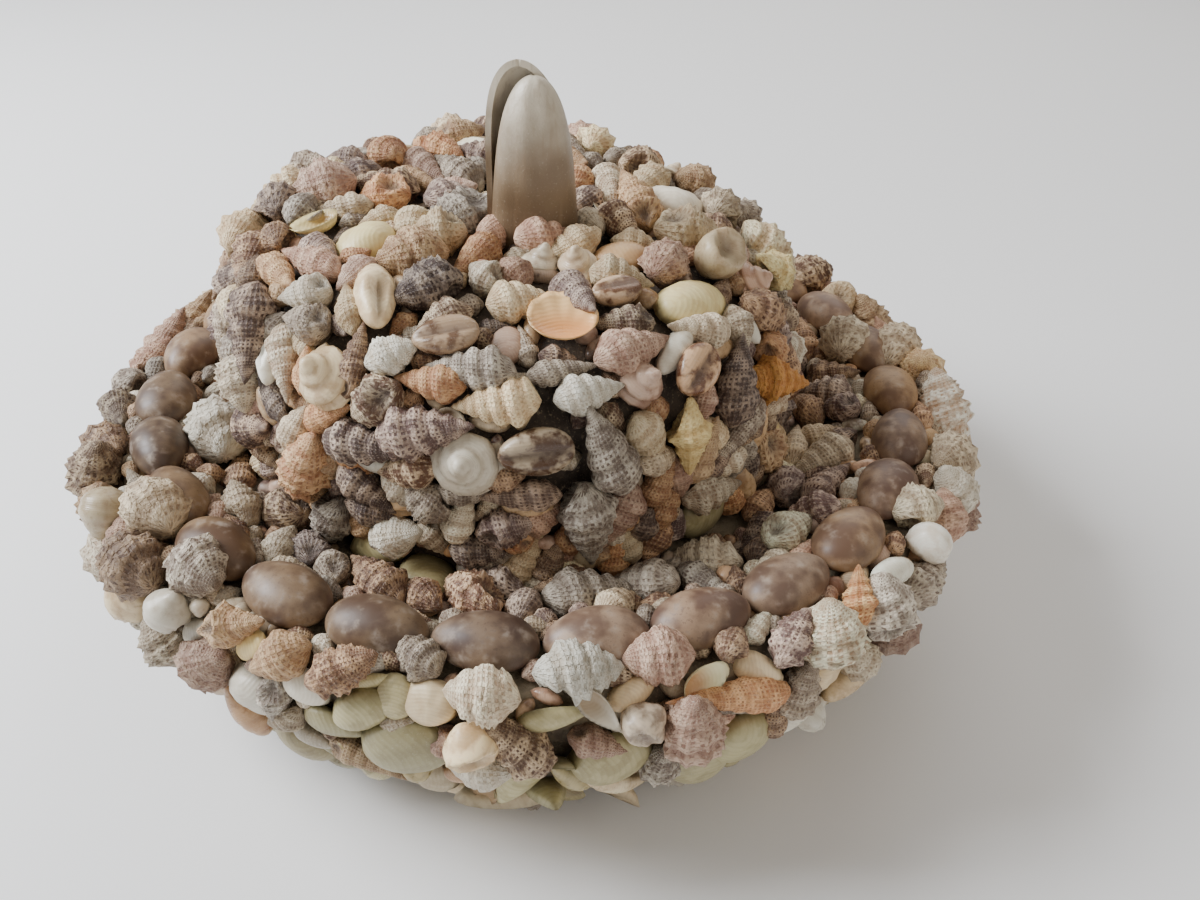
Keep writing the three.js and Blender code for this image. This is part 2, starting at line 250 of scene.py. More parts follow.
def lid_build_up(run, angle):
    """How much thicker the putty of the lid is than its drum, at a run from the crown and an angle."""
    round_share = np.maximum(BUILD_UP_ALL_ROUND + BUILD_UP * np.cos(angle - BUILD_UP_ANGLE), 0)
    return round_share * np.exp(-((run - BUILD_UP_RUN) / BUILD_UP_SPREAD) ** 2)


lid_vessel = turned("lid_vessel", lid_outside + [(LID_RADIUS, LID_FOOT)] + lid_hollow[::-1], LID_X)
lid_runs = np.concatenate([[0], np.cumsum(np.hypot(*np.diff(np.array(lid_outside), axis=0).T))])
for vertex in lid_vessel.data.vertices:
    reach = math.hypot(vertex.co.x - LID_X, vertex.co.y)
    off = np.hypot(np.array(lid_outside)[:, 0] - reach, np.array(lid_outside)[:, 1] - vertex.co.z)
    if off.min() < 0.0001 and vertex.co.z > LID_FOOT + LID_HEM:
        thicker = lid_build_up(lid_runs[off.argmin()], math.atan2(vertex.co.y, vertex.co.x - LID_X))
        vertex.co += vertex.normal * float(thicker) * UNDER_SHELLS
lid_vessel.data.materials.append(putty)
lid_vessel.data.materials.append(lining)
for face in lid_vessel.data.polygons:
    outward = face.normal.x * (face.center.x - LID_X) + face.normal.y * face.center.y > 0
    face.material_index = 0 if outward and face.normal.z > -0.9 or face.normal.z > 0.8 else 1
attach(lid_vessel, "root")
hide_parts("lid")

# Spired shells, the commonest kind: ceriths, drupes, whelks, conchs and augers from the beach.
# Each is a coiled tube, so a ball is drawn out along its axis and stepped along a helix of whorls.
APEX_CROWDING, AXIS_SHARE = 0.3, 0.44


def points_of(mesh):
    """The places of a mesh's points, a row each."""
    places = np.empty(len(mesh.vertices) * 3)
    mesh.vertices.foreach_get("co", places)
    return places.reshape(-1, 3)


def corners_of(mesh):
    """Which point each corner of each face stands on."""
    corners = np.empty(len(mesh.loops), np.int32)
    mesh.loops.foreach_get("vertex_index", corners)
    return corners


def new_ball(name, around, rings):
    """A ball to be bent into a shell, with its mesh and the places of its points."""
    bpy.ops.object.select_all(action="DESELECT")
    bpy.ops.mesh.primitive_uv_sphere_add(segments=around, ring_count=rings, radius=1)
    shell = bpy.context.object
    shell.name = shell.data.name = name
    return shell, shell.data, points_of(shell.data)


def bend(mesh, *axes):
    """Moves a mesh's points to the places given axis by axis, and shades it smooth."""
    mesh.vertices.foreach_set("co", np.stack(axes, 1).astype(np.float32).ravel())
    mesh.polygons.foreach_set("use_smooth", [True] * len(mesh.polygons))


def wound_shell(name, around, rings, length, width, outline, whorls, step, beads, rows,
                knobs=9, knob_rows=1, knob=0.0, flare=0.0, mouth=None, body=0.22):
    """A spired shell lying on its side, apex towards +X, its mouth facing up, its foot at z = 0.

    outline gives the share of the half width at even steps from the base to the apex, step is the depth
    of the sutures, beads and rows count the fine ornament of a whorl, knobs and knob_rows its knobs, knob
    is how far they stand out, and mouth is (place along, size along, size around in turns)."""
    shell, mesh, ball = new_ball(name, around, rings)
    along = 1 - np.arccos(np.clip(ball[:, 2], -1, 1)) / math.pi
    angle = np.arctan2(ball[:, 1], ball[:, 0])
    share = angle / (2 * math.pi)
    rise = (along - body) / (1 - body)
    crowd = np.log((1 + APEX_CROWDING) / (1 - np.clip(rise, None, 1) + APEX_CROWDING))
    coil = whorls * crowd / math.log((1 + APEX_CROWDING) / APEX_CROWDING)
    phase = coil - share
    steps = np.linspace(0, 1, len(outline))
    reach = np.interp(along, steps, outline)
    away = np.abs(phase - np.maximum(np.round(phase), 0))
    suture = np.exp(-(away / 0.14) ** 2) * (along > 0.04)
    reach *= 1 - step * suture
    ornament = np.cos(2 * math.pi * knobs * share) * 0.5 + 0.5
    if knob:
        cords = np.cos(2 * math.pi * (knob_rows * phase + 0.5)) * 0.5 + 0.5
        reach *= 1 + knob * ornament * cords * (1 - suture)
    if flare:
        keel = np.exp(-((phase - np.floor(phase) - 0.35) / 0.16) ** 2)
        reach *= 1 + flare * ornament ** 2 * keel
    inside = np.zeros(len(ball))
    if mouth:
        place, size, spread = mouth
        turns = (share - 0.25 + 0.5) % 1.0 - 0.5
        ring = ((along - place) / size) ** 2 + (turns / spread) ** 2
        lip = np.exp(-((np.sqrt(ring) - 1.15) / 0.25) ** 2)
        inside = np.clip(1.25 - ring, 0, 1)
        reach = reach * (1 + 0.10 * lip) * (1 - 0.62 * inside)
    pole = (along < 1e-4) | (along > 1 - 1e-4)
    reach = np.where(pole, 0, reach * width / 2)
    foot = width * AXIS_SHARE
    bend(mesh, (along - 0.45) * length, reach * np.cos(angle), reach * np.sin(angle) + foot)
    keep_traits(mesh, suture, inside)
    corners = corners_of(mesh)
    spans = share[corners]
    for face in mesh.polygons:
        loop = slice(face.loop_start, face.loop_start + face.loop_total)
        tip = pole[corners[loop]]
        around_face = spans[loop]
        if around_face[~tip].max() - around_face[~tip].min() > 0.5:
            around_face[around_face < 0] += 1
        around_face[tip] = around_face[~tip].mean()
    coils = coil[corners]
    keep_pattern(mesh, spans * beads, (coils - spans) * rows)
    return shell


def keep_traits(mesh, dips, inside):
    """Keeps how deep each point lies in the shell's sculpture, and how far it is inside the shell; the
    shaders paint shade into grooves and mouths by these.
    """
    for name, values in (("dip", dips), ("inside", inside)):
        layer = mesh.attributes.new(name, "FLOAT", "POINT")
        layer.data.foreach_set("value", np.asarray(values, np.float32))


def keep_pattern(mesh, across, along):
    """Keeps where the sculpture's rows run, as a UV map that counts them."""
    while mesh.uv_layers:
        mesh.uv_layers.remove(mesh.uv_layers[0])
    layer = mesh.uv_layers.new(name="sculpture")
    layer.data.foreach_set("uv", np.stack([across, along], 1).astype(np.float32).ravel())


CERITH = (0.05, 0.46, 0.76, 0.95, 1.0, 0.97, 0.91, 0.84, 0.75, 0.65, 0.54, 0.42, 0.29, 0.16, 0.05)
DRUPE = (0.08, 0.44, 0.76, 0.95, 1.0, 0.99, 0.92, 0.79, 0.60, 0.36, 0.10)
WHELK = (0.05, 0.38, 0.68, 0.90, 1.0, 0.96, 0.85, 0.68, 0.49, 0.28, 0.06)
CONCH = (0.10, 0.24, 0.42, 0.66, 0.90, 1.0, 0.82, 0.66, 0.52, 0.38, 0.22, 0.05)
AUGER = (0.12, 0.66, 0.94, 1.0, 0.92, 0.82, 0.71, 0.60, 0.49, 0.38, 0.27, 0.15, 0.04)

cerith_slim = wound_shell("cerith_slim", 16, 30, 0.028, 0.0118, CERITH, 6.5, 0.15, 24, 3,
                          knobs=8, knob=0.06, mouth=(0.13, 0.10, 0.12))
cerith_stout = wound_shell("cerith_stout", 18, 26, 0.026, 0.0140, CERITH, 5.5, 0.14, 24, 4,
                           knobs=9, knob=0.09, mouth=(0.14, 0.10, 0.13))
cerith_knobbed = wound_shell("cerith_knobbed", 20, 30, 0.030, 0.0150, CERITH, 6, 0.13, 27, 4,
                             knobs=10, knob=0.17, mouth=(0.14, 0.10, 0.13))
drupe_round = wound_shell("drupe_round", 20, 24, 0.024, 0.0175, DRUPE, 3.2, 0.10, 20, 5,
                          knobs=10, knob_rows=4, knob=0.18, mouth=(0.26, 0.17, 0.12), body=0.3)
drupe_long = wound_shell("drupe_long", 20, 25, 0.028, 0.0160, DRUPE, 3.6, 0.15, 20, 5,
                         knobs=10, knob_rows=2, knob=0.20, mouth=(0.25, 0.16, 0.12), body=0.3)
whelk = wound_shell("whelk", 16, 20, 0.021, 0.0130, WHELK, 4.5, 0.11, 20, 4,
                    knobs=8, knob=0.05, mouth=(0.24, 0.17, 0.12), body=0.3)
conch = wound_shell("conch", 28, 34, 0.031, 0.0165, CONCH, 5, 0.15, 14, 5,
                    knobs=7, flare=0.24, mouth=(0.26, 0.20, 0.12), body=0.36)
auger = wound_shell("auger", 14, 36, 0.040, 0.0115, AUGER, 10, 0.10, 26, 4,
                    knobs=8, knob=0.03, mouth=(0.11, 0.07, 0.12), body=0.14)
little_cerith = wound_shell("little_cerith", 12, 18, 0.018, 0.0088, CERITH, 5, 0.15, 20, 3,
                            knobs=6, knob=0.07)
little_whelk = wound_shell("little_whelk", 12, 12, 0.014, 0.0092, WHELK, 4, 0.12, 16, 3, knobs=6, knob=0.05)


def tinted(tree, name):
    """A value or colour that a shell keeps in its own mesh."""
    return add(tree, "Attribute", {"attribute_name": name, "attribute_type": "GEOMETRY"})


def shell_paints(tree):
    """A shell's light colour, dark colour, how strong its pattern is and how chalky it is worn."""
    tint, ground = tinted(tree, "tint"), tinted(tree, "ground")
    return tint.outputs["Color"], ground.outputs["Color"], ground.outputs["Alpha"], tint.outputs["Alpha"]


def sculpture_rows(tree):
    """How far a point lies across and along the rows of its shell's sculpture."""
    pattern = add(tree, "UVMap", {"uv_map": "sculpture"}).outputs["UV"]
    axes = add(tree, "SeparateXYZ", {}, {"Vector": pattern})
    return axes.outputs[0], axes.outputs[1]


def sculptured_material():
    """Matt, beach-worn shell: pale cords and beads with small dark gaps between them, darkened partly as
    painted shade.
    """
    material, tree, skin = shader("sculptured_shell")
    pale, dark, contrast, worn = shell_paints(tree)
    across, along = sculpture_rows(tree)
    wander = times(tree, grain(tree, 260.0), 0.9)
    ribs = maths(tree, "COSINE", times(tree, across, 2 * math.pi))
    cords = maths(tree, "COSINE", plus(tree, wander, times(tree, along, 2 * math.pi)))
    gaps = times(tree, ramp(tree, ribs, 0.35, -0.45), ramp(tree, cords, 0.35, -0.45))
    whole = ramp(tree, grain(tree, 430.0), 0.40, 0.58, 0.30, 1.0)
    gaps = times(tree, gaps, whole)
    beads = times(tree, ramp(tree, ribs, 0.0, 0.9), ramp(tree, cords, 0.0, 0.9))
    fine = grain(tree, 1500.0, 4.0, 0.7)
    crust = grain(tree, 620.0, 3.0, 0.6)
    blotch = grain(tree, 210.0, 3.0, 0.55)
    shade = over(tree, pale, ramp(tree, blotch, 0.60, 0.40), contrast, dark)
    # The gaps between cords and beads: the shell's darker ground and painted shade in these recesses.
    shade = over(tree, shade, gaps, plus(tree, contrast, 0.25), dark)
    shade = over(tree, shade, beads, 0.55, pale)
    shade = over(tree, shade, ramp(tree, fine, 0.50, 0.72), worn, (0.74, 0.70, 0.63, 1))
    # Painted shade and dirt in the sutures between the whorls.
    shade = over(tree, shade, tinted(tree, "dip").outputs["Fac"], 0.55, dark)
    # Painted shadow: the shallow dent of the mouth is darkened nearly to black, as though it were a deep
    # opening.
    inside = tinted(tree, "inside").outputs["Fac"]
    shade = over(tree, shade, inside, 0.75, (0.10, 0.075, 0.06, 1))
    grit = plus(tree, times(tree, fine, 0.35), times(tree, crust, 1.3))
    height = plus(tree, times(tree, maths(tree, "SUBTRACT", beads, gaps), 0.8), grit)
    surface(tree, skin, shade, ramp(tree, fine, 0.3, 0.7, 0.5, 0.78), height, 0.8, 0.0007)
    return material


sculptured = sculptured_material()
for shell in (cerith_slim, cerith_stout, cerith_knobbed, drupe_round, drupe_long, whelk, conch, auger,
              little_cerith, little_whelk):
    shell.data.materials.append(sculptured)

# Smooth snails and egg shapes: moon snails, turbans, olives, bubbles and small cowries.
# They are polished shells with a soft shine, cloudy or mottled, some worn through to pale spirals.
MOON = (0.20, 0.62, 0.86, 0.98, 1.0, 0.94, 0.80, 0.60, 0.38, 0.16)
TURBAN = (0.30, 0.75, 0.95, 1.0, 0.90, 0.74, 0.56, 0.40, 0.24, 0.08)
OLIVE = (0.22, 0.55, 0.76, 0.90, 0.98, 1.0, 0.94, 0.80, 0.55, 0.18)

moon_snail = wound_shell("moon_snail", 20, 18, 0.018, 0.0175, MOON, 3, 0.07, 2, 5,
                         mouth=(0.30, 0.24, 0.15), body=0.42)
turban = wound_shell("turban", 24, 24, 0.017, 0.0190, TURBAN, 3.5, 0.16, 12, 3,
                     knobs=12, knob=0.05, mouth=(0.30, 0.22, 0.12), body=0.4)
olive = wound_shell("olive", 14, 18, 0.023, 0.0110, OLIVE, 3, 0.05, 2, 3,
                    mouth=(0.35, 0.30, 0.07), body=0.7)
little_moon = wound_shell("little_moon", 12, 8, 0.009, 0.0085, MOON, 2, 0.05, 2, 4, body=0.42)
little_olive = wound_shell("little_olive", 10, 8, 0.013, 0.0068, OLIVE, 2, 0.04, 2, 3, body=0.7)


def cowrie_shell(name, around, rings, length, width, height):
    """A cowrie lying on its slit side: an egg wider at one end, flattened below, with a toothed slit."""
    shell, mesh, ball = new_ball(name, around, rings)
    y, z, x = ball.T
    swell = 1 + 0.13 * x
    belly = height * 0.40
    up = np.where(z > 0, (height - belly) * z, belly * z * (1 - 0.25 * z * z))
    slit = (z < 0) * np.exp(-(y / 0.10) ** 2) * (1 - x ** 4)
    bend(mesh, x * length / 2, y * swell * width / 2 * (1 - 0.04 * np.abs(x) ** 3),
         belly + up + slit * belly * 0.45)
    keep_traits(mesh, slit, slit)
    corners = corners_of(mesh)
    keep_pattern(mesh, x[corners] * 3, np.abs(y)[corners] * 3)
    return shell


small_cowrie = cowrie_shell("small_cowrie", 18, 14, 0.024, 0.0160, 0.0120)


def smooth_material():
    """Polished shell, cloudy with growth lines, its thin places worn pale."""
    material, tree, skin = shader("smooth_shell")
    pale, dark, contrast, worn = shell_paints(tree)
    cloud = grain(tree, 130.0, 2.5, 0.5)
    patch = grain(tree, 420.0, 2.0, 0.5)
    fine = grain(tree, 1700.0, 3.0, 0.6)
    lines = maths(tree, "SINE", times(tree, sculpture_rows(tree)[1], 14.0))
    mottle = plus(tree, times(tree, cloud, 0.7), times(tree, patch, 0.3))
    shade = over(tree, pale, ramp(tree, mottle, 0.56, 0.42), contrast, dark)
    shade = over(tree, shade, ramp(tree, lines, -0.2, 1.0), 0.10, dark)
    shade = over(tree, shade, ramp(tree, fine, 0.56, 0.74), worn, (0.66, 0.62, 0.55, 1))
    # Painted shade in the sutures and along the small cowries' slits.
    shade = over(tree, shade, tinted(tree, "dip").outputs["Fac"], 0.35, dark)
    # Painted shadow: mouths and slits are darkened nearly to black.
    inside = tinted(tree, "inside").outputs["Fac"]
    shade = over(tree, shade, inside, 0.6, (0.13, 0.09, 0.065, 1))
    height = plus(tree, times(tree, lines, 0.15), times(tree, fine, 0.25))
    surface(tree, skin, shade, ramp(tree, patch, 0.3, 0.7, 0.24, 0.42), height, 0.25, 0.0003)
    return material


smooth = smooth_material()
for shell in (moon_snail, turban, olive, little_moon, little_olive, small_cowrie):
    shell.data.materials.append(smooth)

# Half shells of cockles, clams and scallops, lying hollow side down or, here and there, up.
# Each is a thin dished valve with ribs that fan out from its beak, or with growth rings only.


def valve_shell(name, around, rings, length, width, height, ribs, rib_depth, wall=0.0012, point=0.0):
    """A valve lying hollow side down, its beak towards -X: a ball dished into an outer and inner face."""
    shell, mesh, ball = new_ball(name, around, rings)
    angle = np.arctan2(ball[:, 1], ball[:, 0])
    tilt = np.arccos(np.clip(ball[:, 2], -1, 1)) / math.pi
    out = np.minimum(tilt, 1 - tilt) * 2
    lower = tilt > 0.5 + 1e-4
    beak = np.clip(-np.cos(angle), 0, 1) ** 3
    x = out * np.cos(angle) * (1 - 0.10 * beak)
    y = out * np.sin(angle) * (1 - 0.22 * beak)
    y = y * (1 - point * np.clip((x + 1) / 2, 0, 1) ** 1.5)
    fan = np.arctan2(y, x + 1.0)
    run = np.hypot(x + 1.0, y) / 2
    rib = np.cos(fan / (math.pi / 2) * math.pi * ribs) * rib_depth * run * out
    dome = (1 - out ** 2.4) ** 0.62 * (1 - 0.28 * x)
    z = height * dome + rib
    z = np.where(lower, z - wall * (1 - out ** 8) - 0.06 * height * (1 - out), z)
    bend(mesh, x * length / 2, y * width / 2, z + wall)
    valleys = 0.5 - 0.5 * np.cos(fan / (math.pi / 2) * math.pi * ribs) * (rib_depth > 0)
    keep_traits(mesh, valleys, lower * 1.0)
    corners = corners_of(mesh)
    keep_pattern(mesh, fan[corners] / math.pi * ribs, run[corners] * 6)
    return shell


cockle = valve_shell("cockle", 36, 10, 0.024, 0.026, 0.0085, 9, 0.0007)
clam = valve_shell("clam", 20, 12, 0.028, 0.022, 0.0065, 1, 0.0)
oval_clam = valve_shell("oval_clam", 18, 10, 0.026, 0.016, 0.0060, 1, 0.0)
scallop = valve_shell("scallop", 40, 14, 0.026, 0.027, 0.0050, 10, 0.0006)
tellin = valve_shell("tellin", 18, 10, 0.030, 0.018, 0.0050, 1, 0.0, point=0.65)
little_clam = valve_shell("little_clam", 14, 8, 0.015, 0.011, 0.0040, 1, 0.0)


def valve_material():
    """Half shells: waxy or chalky outside with faint growth rings, deeper in colour inside."""
    material, tree, skin = shader("valve_shell")
    pale, dark, contrast, worn = shell_paints(tree)
    from_beak = sculpture_rows(tree)[1]
    blotch = grain(tree, 180.0, 3.0, 0.5)
    fine = grain(tree, 1500.0, 4.0, 0.65)
    rings = maths(tree, "SINE", plus(tree, times(tree, from_beak, 16.0), times(tree, blotch, 3.0)))
    dip = tinted(tree, "dip").outputs["Fac"]
    inside = tinted(tree, "inside").outputs["Fac"]
    bands = times(tree, ramp(tree, rings, 0.2, 1.0), 0.28)
    shade = over(tree, pale, bands, contrast, dark)
    shade = over(tree, shade, ramp(tree, blotch, 0.55, 0.42), times(tree, contrast, 0.6), dark)
    # Painted shade in the valleys between the ribs.
    shade = over(tree, shade, dip, times(tree, contrast, 0.35), dark)
    shade = over(tree, shade, ramp(tree, fine, 0.52, 0.74), worn, (0.66, 0.62, 0.54, 1))
    hollow_shade = blend(tree, ramp(tree, from_beak, 5.2, 2.4), pale, dark)
    shade = blend(tree, inside, shade, hollow_shade)
    height = plus(tree, times(tree, rings, 0.12), times(tree, blotch, 0.9))
    surface(tree, skin, shade, ramp(tree, inside, 0.0, 1.0, 0.44, 0.30), height, 0.5, 0.0004)
    return material


valve = valve_material()
for shell in (cockle, clam, oval_clam, scallop, tellin, little_clam):
    shell.data.materials.append(valve)

# Where shells can lie: the outside wall of the bowl, its rim, the slope inside the ring of cowries,
# and the side and top of the lid, each kept as a line from its top or middle down to its foot.

SLOPE_REACH = 0.003


class Skin:
    """A turned surface that shells are pressed into, as a line of radius and height with its length."""

    def __init__(self, line, centre_x, build_up=None):
        self.radii = np.array([r for r, z in line])
        self.heights = np.array([z for r, z in line])
        self.centre_x = centre_x
        self.build_up = build_up
        gaps = np.hypot(np.diff(self.radii), np.diff(self.heights))
        self.runs = np.concatenate([[0], np.cumsum(gaps)])
        self.length = self.runs[-1]

    def at(self, run):
        """Radius and height at a run, which is kept within the line."""
        run = np.clip(run, 0, self.length)
        return np.array([np.interp(run, self.runs, self.radii), np.interp(run, self.runs, self.heights)])

    def spot(self, run, angle, lift=0.0):
        """Place, outward normal and direction along the line at a run and an angle in radians."""
        run = np.clip(run, 0, self.length)
        r, z = self.at(run)
        dr, dz = self.at(run + SLOPE_REACH) - self.at(run - SLOPE_REACH)
        size = np.hypot(dr, dz)
        dr, dz = dr / size, dz / size
        c, s = np.cos(angle), np.sin(angle)
        along = np.stack([dr * c, dr * s, dz + 0 * c], -1)
        normal = np.stack([-dz * c, -dz * s, dr + 0 * c], -1)
        if self.build_up:
            lift = lift + self.build_up(run, angle)
        place = np.stack([self.centre_x + r * c, r * s, z + 0 * c], -1) + normal * np.expand_dims(lift, -1)
        return place, normal, along


SLOPE_START = 0.1005
skins = {"wall": Skin(outside_profile[::-1], 0.0),
         "slope": Skin([(SLOPE_START, LEDGE_HEIGHT)] + slope_profile[::-1], 0.0),
         "land": Skin([(LAND_INNER, LAND_HEIGHT), (LAND_OUTER, LAND_HEIGHT)], 0.0),
         "lid": Skin(lid_outside, LID_X, lid_build_up)}

SEEN_LIFT, SEEN_STEP, SEEN_AROUND, SEEN_EDGE = 0.006, 0.002, 480, 0.0005
SAME_SURFACE, NEAR_PIXELS, LEAST_NEAR = 0.012, 3.0, 5.0
seen = []
for name, skin in skins.items():
    steps = int(skin.length / SEEN_STEP) + 1
    runs, angles = np.meshgrid(np.linspace(SEEN_EDGE, skin.length - SEEN_EDGE, steps),
                               np.linspace(-math.pi, math.pi, SEEN_AROUND, endpoint=False), indexing="ij")
    runs, angles = runs.ravel(), angles.ravel()
    places, normals, _ = skin.spot(runs, angles, SEEN_LIFT)
    px, py, depth = seen_at(places)
    facing = ((np.array(CAMERA_PLACE) - places) * normals).sum(1) > 0.0
    for i in np.nonzero(facing)[0]:
        seen.append((px[i], py[i], depth[i], name, runs[i], angles[i]))
seen_numbers = np.array([entry[:3] for entry in seen])


def skin_seen(px, py):
    """The skin, run and angle that the camera sees at a pixel of the 1200 by 900 picture."""
    off = np.hypot(seen_numbers[:, 0] - px, seen_numbers[:, 1] - py)
    near = np.nonzero(off < max(off.min() + NEAR_PIXELS, LEAST_NEAR))[0]
    front = near[seen_numbers[near, 2] < seen_numbers[near, 2].min() + SAME_SURFACE]
    best = front[np.argmin(off[front])]
    return seen[best][3:]


# The ring of cowries on the rim: 27 big polished shells laid end to end round the land, slit down,
# brown and grey with darker clouds. Each is a piece of its own, pressed into the putty.
COWRIE_COUNT, COWRIE_CIRCLE, COWRIE_FOOT, FIRST_COWRIE = 27, 0.146, 0.0823, 10.4
COWRIE_LENGTH, COWRIE_WIDTH, COWRIE_HEIGHT = 0.0334, 0.022, 0.016


def cowrie_material():
    """Worn polish with soft brown clouds, dark specks and paler patches."""
    material, tree, skin = shader("cowrie")
    pale, dark, _, _ = shell_paints(tree)
    cloud = grain(tree, 75.0, 2.0, 0.5)
    patch = grain(tree, 200.0, 3.0, 0.6)
    speck = grain(tree, 800.0, 3.0, 0.6)
    mottle = plus(tree, times(tree, cloud, 0.6), times(tree, patch, 0.4))
    shade = blend(tree, ramp(tree, mottle, 0.62, 0.40), pale, dark)
    shade = over(tree, shade, ramp(tree, speck, 0.54, 0.66), 0.5, dark)
    shade = blend(tree, ramp(tree, patch, 0.52, 0.80, 0.0, 0.5), shade, (0.46, 0.39, 0.33, 1))
    surface(tree, skin, shade, ramp(tree, patch, 0.3, 0.7, 0.42, 0.56), patch, 0.15, 0.0004)
    return material


def keep_colour(mesh, name, values):
    """Keeps one colour, the same at every point of a mesh."""
    layer = mesh.attributes.new(name, "FLOAT_COLOR", "POINT")
    layer.data.foreach_set("color", np.tile(np.array(values, np.float32), len(mesh.vertices)))


cowrie_skin = cowrie_material()
COWRIE_COLOURS = (((158, 130, 100), (106, 80, 62)), ((148, 124, 102), (98, 76, 62)),
                  ((162, 130, 94), (108, 78, 54)), ((138, 114, 92), (88, 66, 54)))
PAINTED_SHADE_AT = math.radians(-140)
ring_balls = []
for k in range(COWRIE_COUNT):
    angle = math.radians(FIRST_COWRIE + 360 / COWRIE_COUNT * k)
    x, y = COWRIE_CIRCLE * math.cos(angle), COWRIE_CIRCLE * math.sin(angle)
    name = f"ring_cowrie_{k + 1:02d}"
    shell = cowrie_shell(name, 34, 24, COWRIE_LENGTH, COWRIE_WIDTH * chance.uniform(0.94, 1.04),
                         COWRIE_HEIGHT * chance.uniform(0.94, 1.02))
    flip = math.pi if chance.random() < 0.5 else 0.0
    shell.data.transform(Matrix.Translation((x, y, COWRIE_FOOT)) @ Matrix.Rotation(
        angle + math.pi / 2 + flip + chance.uniform(-0.06, 0.06), 4, "Z"))
    light, shadow = chance.choice(COWRIE_COLOURS)
    # Painted light and shade: cowries are painted darker towards the left front of the ring and lighter
    # elsewhere, on top of a random tone.
    bright = chance.uniform(0.88, 1.1) * (1.14 - 0.40 * max(math.cos(angle - PAINTED_SHADE_AT), 0) ** 2)
    for layer_name, colour in (("tint", light), ("ground", shadow)):
        keep_colour(shell.data, layer_name, paint(*[c * bright for c in colour]) + [1.0])
    shell.data.materials.append(cowrie_skin)
    for share in (-0.3, 0.0, 0.3):
        ring_balls.append((x - math.sin(angle) * COWRIE_LENGTH * share,
                           y + math.cos(angle) * COWRIE_LENGTH * share,
                           COWRIE_FOOT + COWRIE_HEIGHT * 0.45, COWRIE_WIDTH * (0.46 - 0.3 * share ** 2)))
    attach(shell, "root")
    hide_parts(f"rim_cowrie_{k + 1:02d}")

# Pressing the shells in. Each is set where the picture shows it, or in the widest gap that is left,
# turned to its place and sunk a little into the putty, and no two go through each other far.
# Each kind's master, its length and the width it counts for keeping others off.
KINDS = {shell.name: (shell, length, width) for shell, length, width in (
    (cerith_slim, 0.028, 0.0115), (cerith_stout, 0.026, 0.0135), (cerith_knobbed, 0.030, 0.0145),
    (drupe_round, 0.024, 0.0175), (drupe_long, 0.027, 0.0160), (whelk, 0.021, 0.0125),
    (conch, 0.031, 0.0185), (auger, 0.040, 0.0110), (moon_snail, 0.018, 0.0175),
    (turban, 0.016, 0.0195), (olive, 0.023, 0.0110), (small_cowrie, 0.024, 0.0160),
    (cockle, 0.024, 0.026), (clam, 0.028, 0.022), (oval_clam, 0.026, 0.016), (scallop, 0.026, 0.027),
    (little_cerith, 0.018, 0.0088), (little_whelk, 0.014, 0.0092), (little_moon, 0.009, 0.0085),
    (little_olive, 0.013, 0.0068), (tellin, 0.030, 0.018), (little_clam, 0.015, 0.011))}
FLAT_KINDS = ("cockle", "clam", "oval_clam", "scallop", "tellin", "little_clam")

# Colours of each look: light part, dark part, how strong the pattern is, how chalky.
LOOKS = {
    "dark": ((184, 162, 146), (74, 53, 46), 0.95, 0.3),
    "violet": ((192, 170, 158), (92, 68, 64), 0.9, 0.35),
    "grey": ((198, 186, 172), (104, 86, 74), 0.75, 0.5),
    "pale": ((226, 214, 194), (150, 122, 98), 0.55, 0.5),
    "white": ((232, 225, 212), (178, 158, 134), 0.35, 0.4),
    "cream": ((228, 210, 178), (170, 138, 104), 0.5, 0.35),
    "brown": ((196, 164, 134), (96, 64, 46), 0.85, 0.3),
    "orange": ((216, 174, 132), (150, 96, 62), 0.7, 0.3),
    "tan": ((208, 178, 142), (138, 100, 70), 0.65, 0.35),
    "yellow": ((232, 214, 160), (190, 156, 100), 0.5, 0.3),
    "pink": ((210, 178, 158), (140, 100, 84), 0.65, 0.35),
    "green": ((196, 184, 144), (128, 112, 76), 0.6, 0.25),
    "bright": ((232, 170, 92), (190, 118, 52), 0.5, 0.15),
    "peach": ((228, 188, 142), (196, 140, 90), 0.5, 0.2),
    "moss": ((206, 194, 150), (146, 128, 80), 0.6, 0.2),
    "speckled": ((206, 184, 158), (92, 64, 46), 1.0, 0.2),
    "bone": ((214, 200, 178), (130, 108, 88), 0.6, 0.55)}

VALVE_PIVOT, HOLLOW_UP_LIFT, LOW_WALL_RUN, LOW_WALL_PAINTED_SHADE = 0.002, 0.005, 0.018, 0.88
pressed = {"lid": [], "bowl": []}
taken_centres = np.array([ball[:3] for ball in ring_balls])
taken_radii = np.array([ball[3] for ball in ring_balls])


def shell_balls(kind, size, place, normal, along, side, heading):
    """Balls along a shell that lies at a place with its apex heading that way, for keeping others off."""
    length, width = KINDS[kind][1] * size, KINDS[kind][2] * size
    forward = along * math.cos(heading) + side * math.sin(heading)
    if kind in FLAT_KINDS or kind in ("moon_snail", "turban", "little_moon"):
        shares, radii = np.array([-0.2, 0.2]), np.array([0.42, 0.42]) * min(width, length)
    elif kind in ("olive", "small_cowrie", "little_olive"):
        shares, radii = np.array([-0.3, 0, 0.3]), np.array([0.40, 0.48, 0.40]) * width
    else:
        shares = np.array([-0.34, -0.14, 0.1, 0.3, 0.46])
        radii = np.array([0.36, 0.48, 0.36, 0.23, 0.1]) * width
    centres = place + forward * (shares * length)[:, None] + normal * width * 0.4
    return centres, radii


def side_of(angle):
    """The way round a skin at an angle."""
    return np.array([-math.sin(angle), math.cos(angle), 0.0])


def room_for(centres, radii, near):
    """The least distance between a shell's balls and the balls of the shells already pressed in."""
    if not len(near):
        return 1.0
    gaps = np.linalg.norm(centres[:, None] - taken_centres[near][None], axis=2)
    return (gaps - radii[:, None] - taken_radii[near][None]).min()


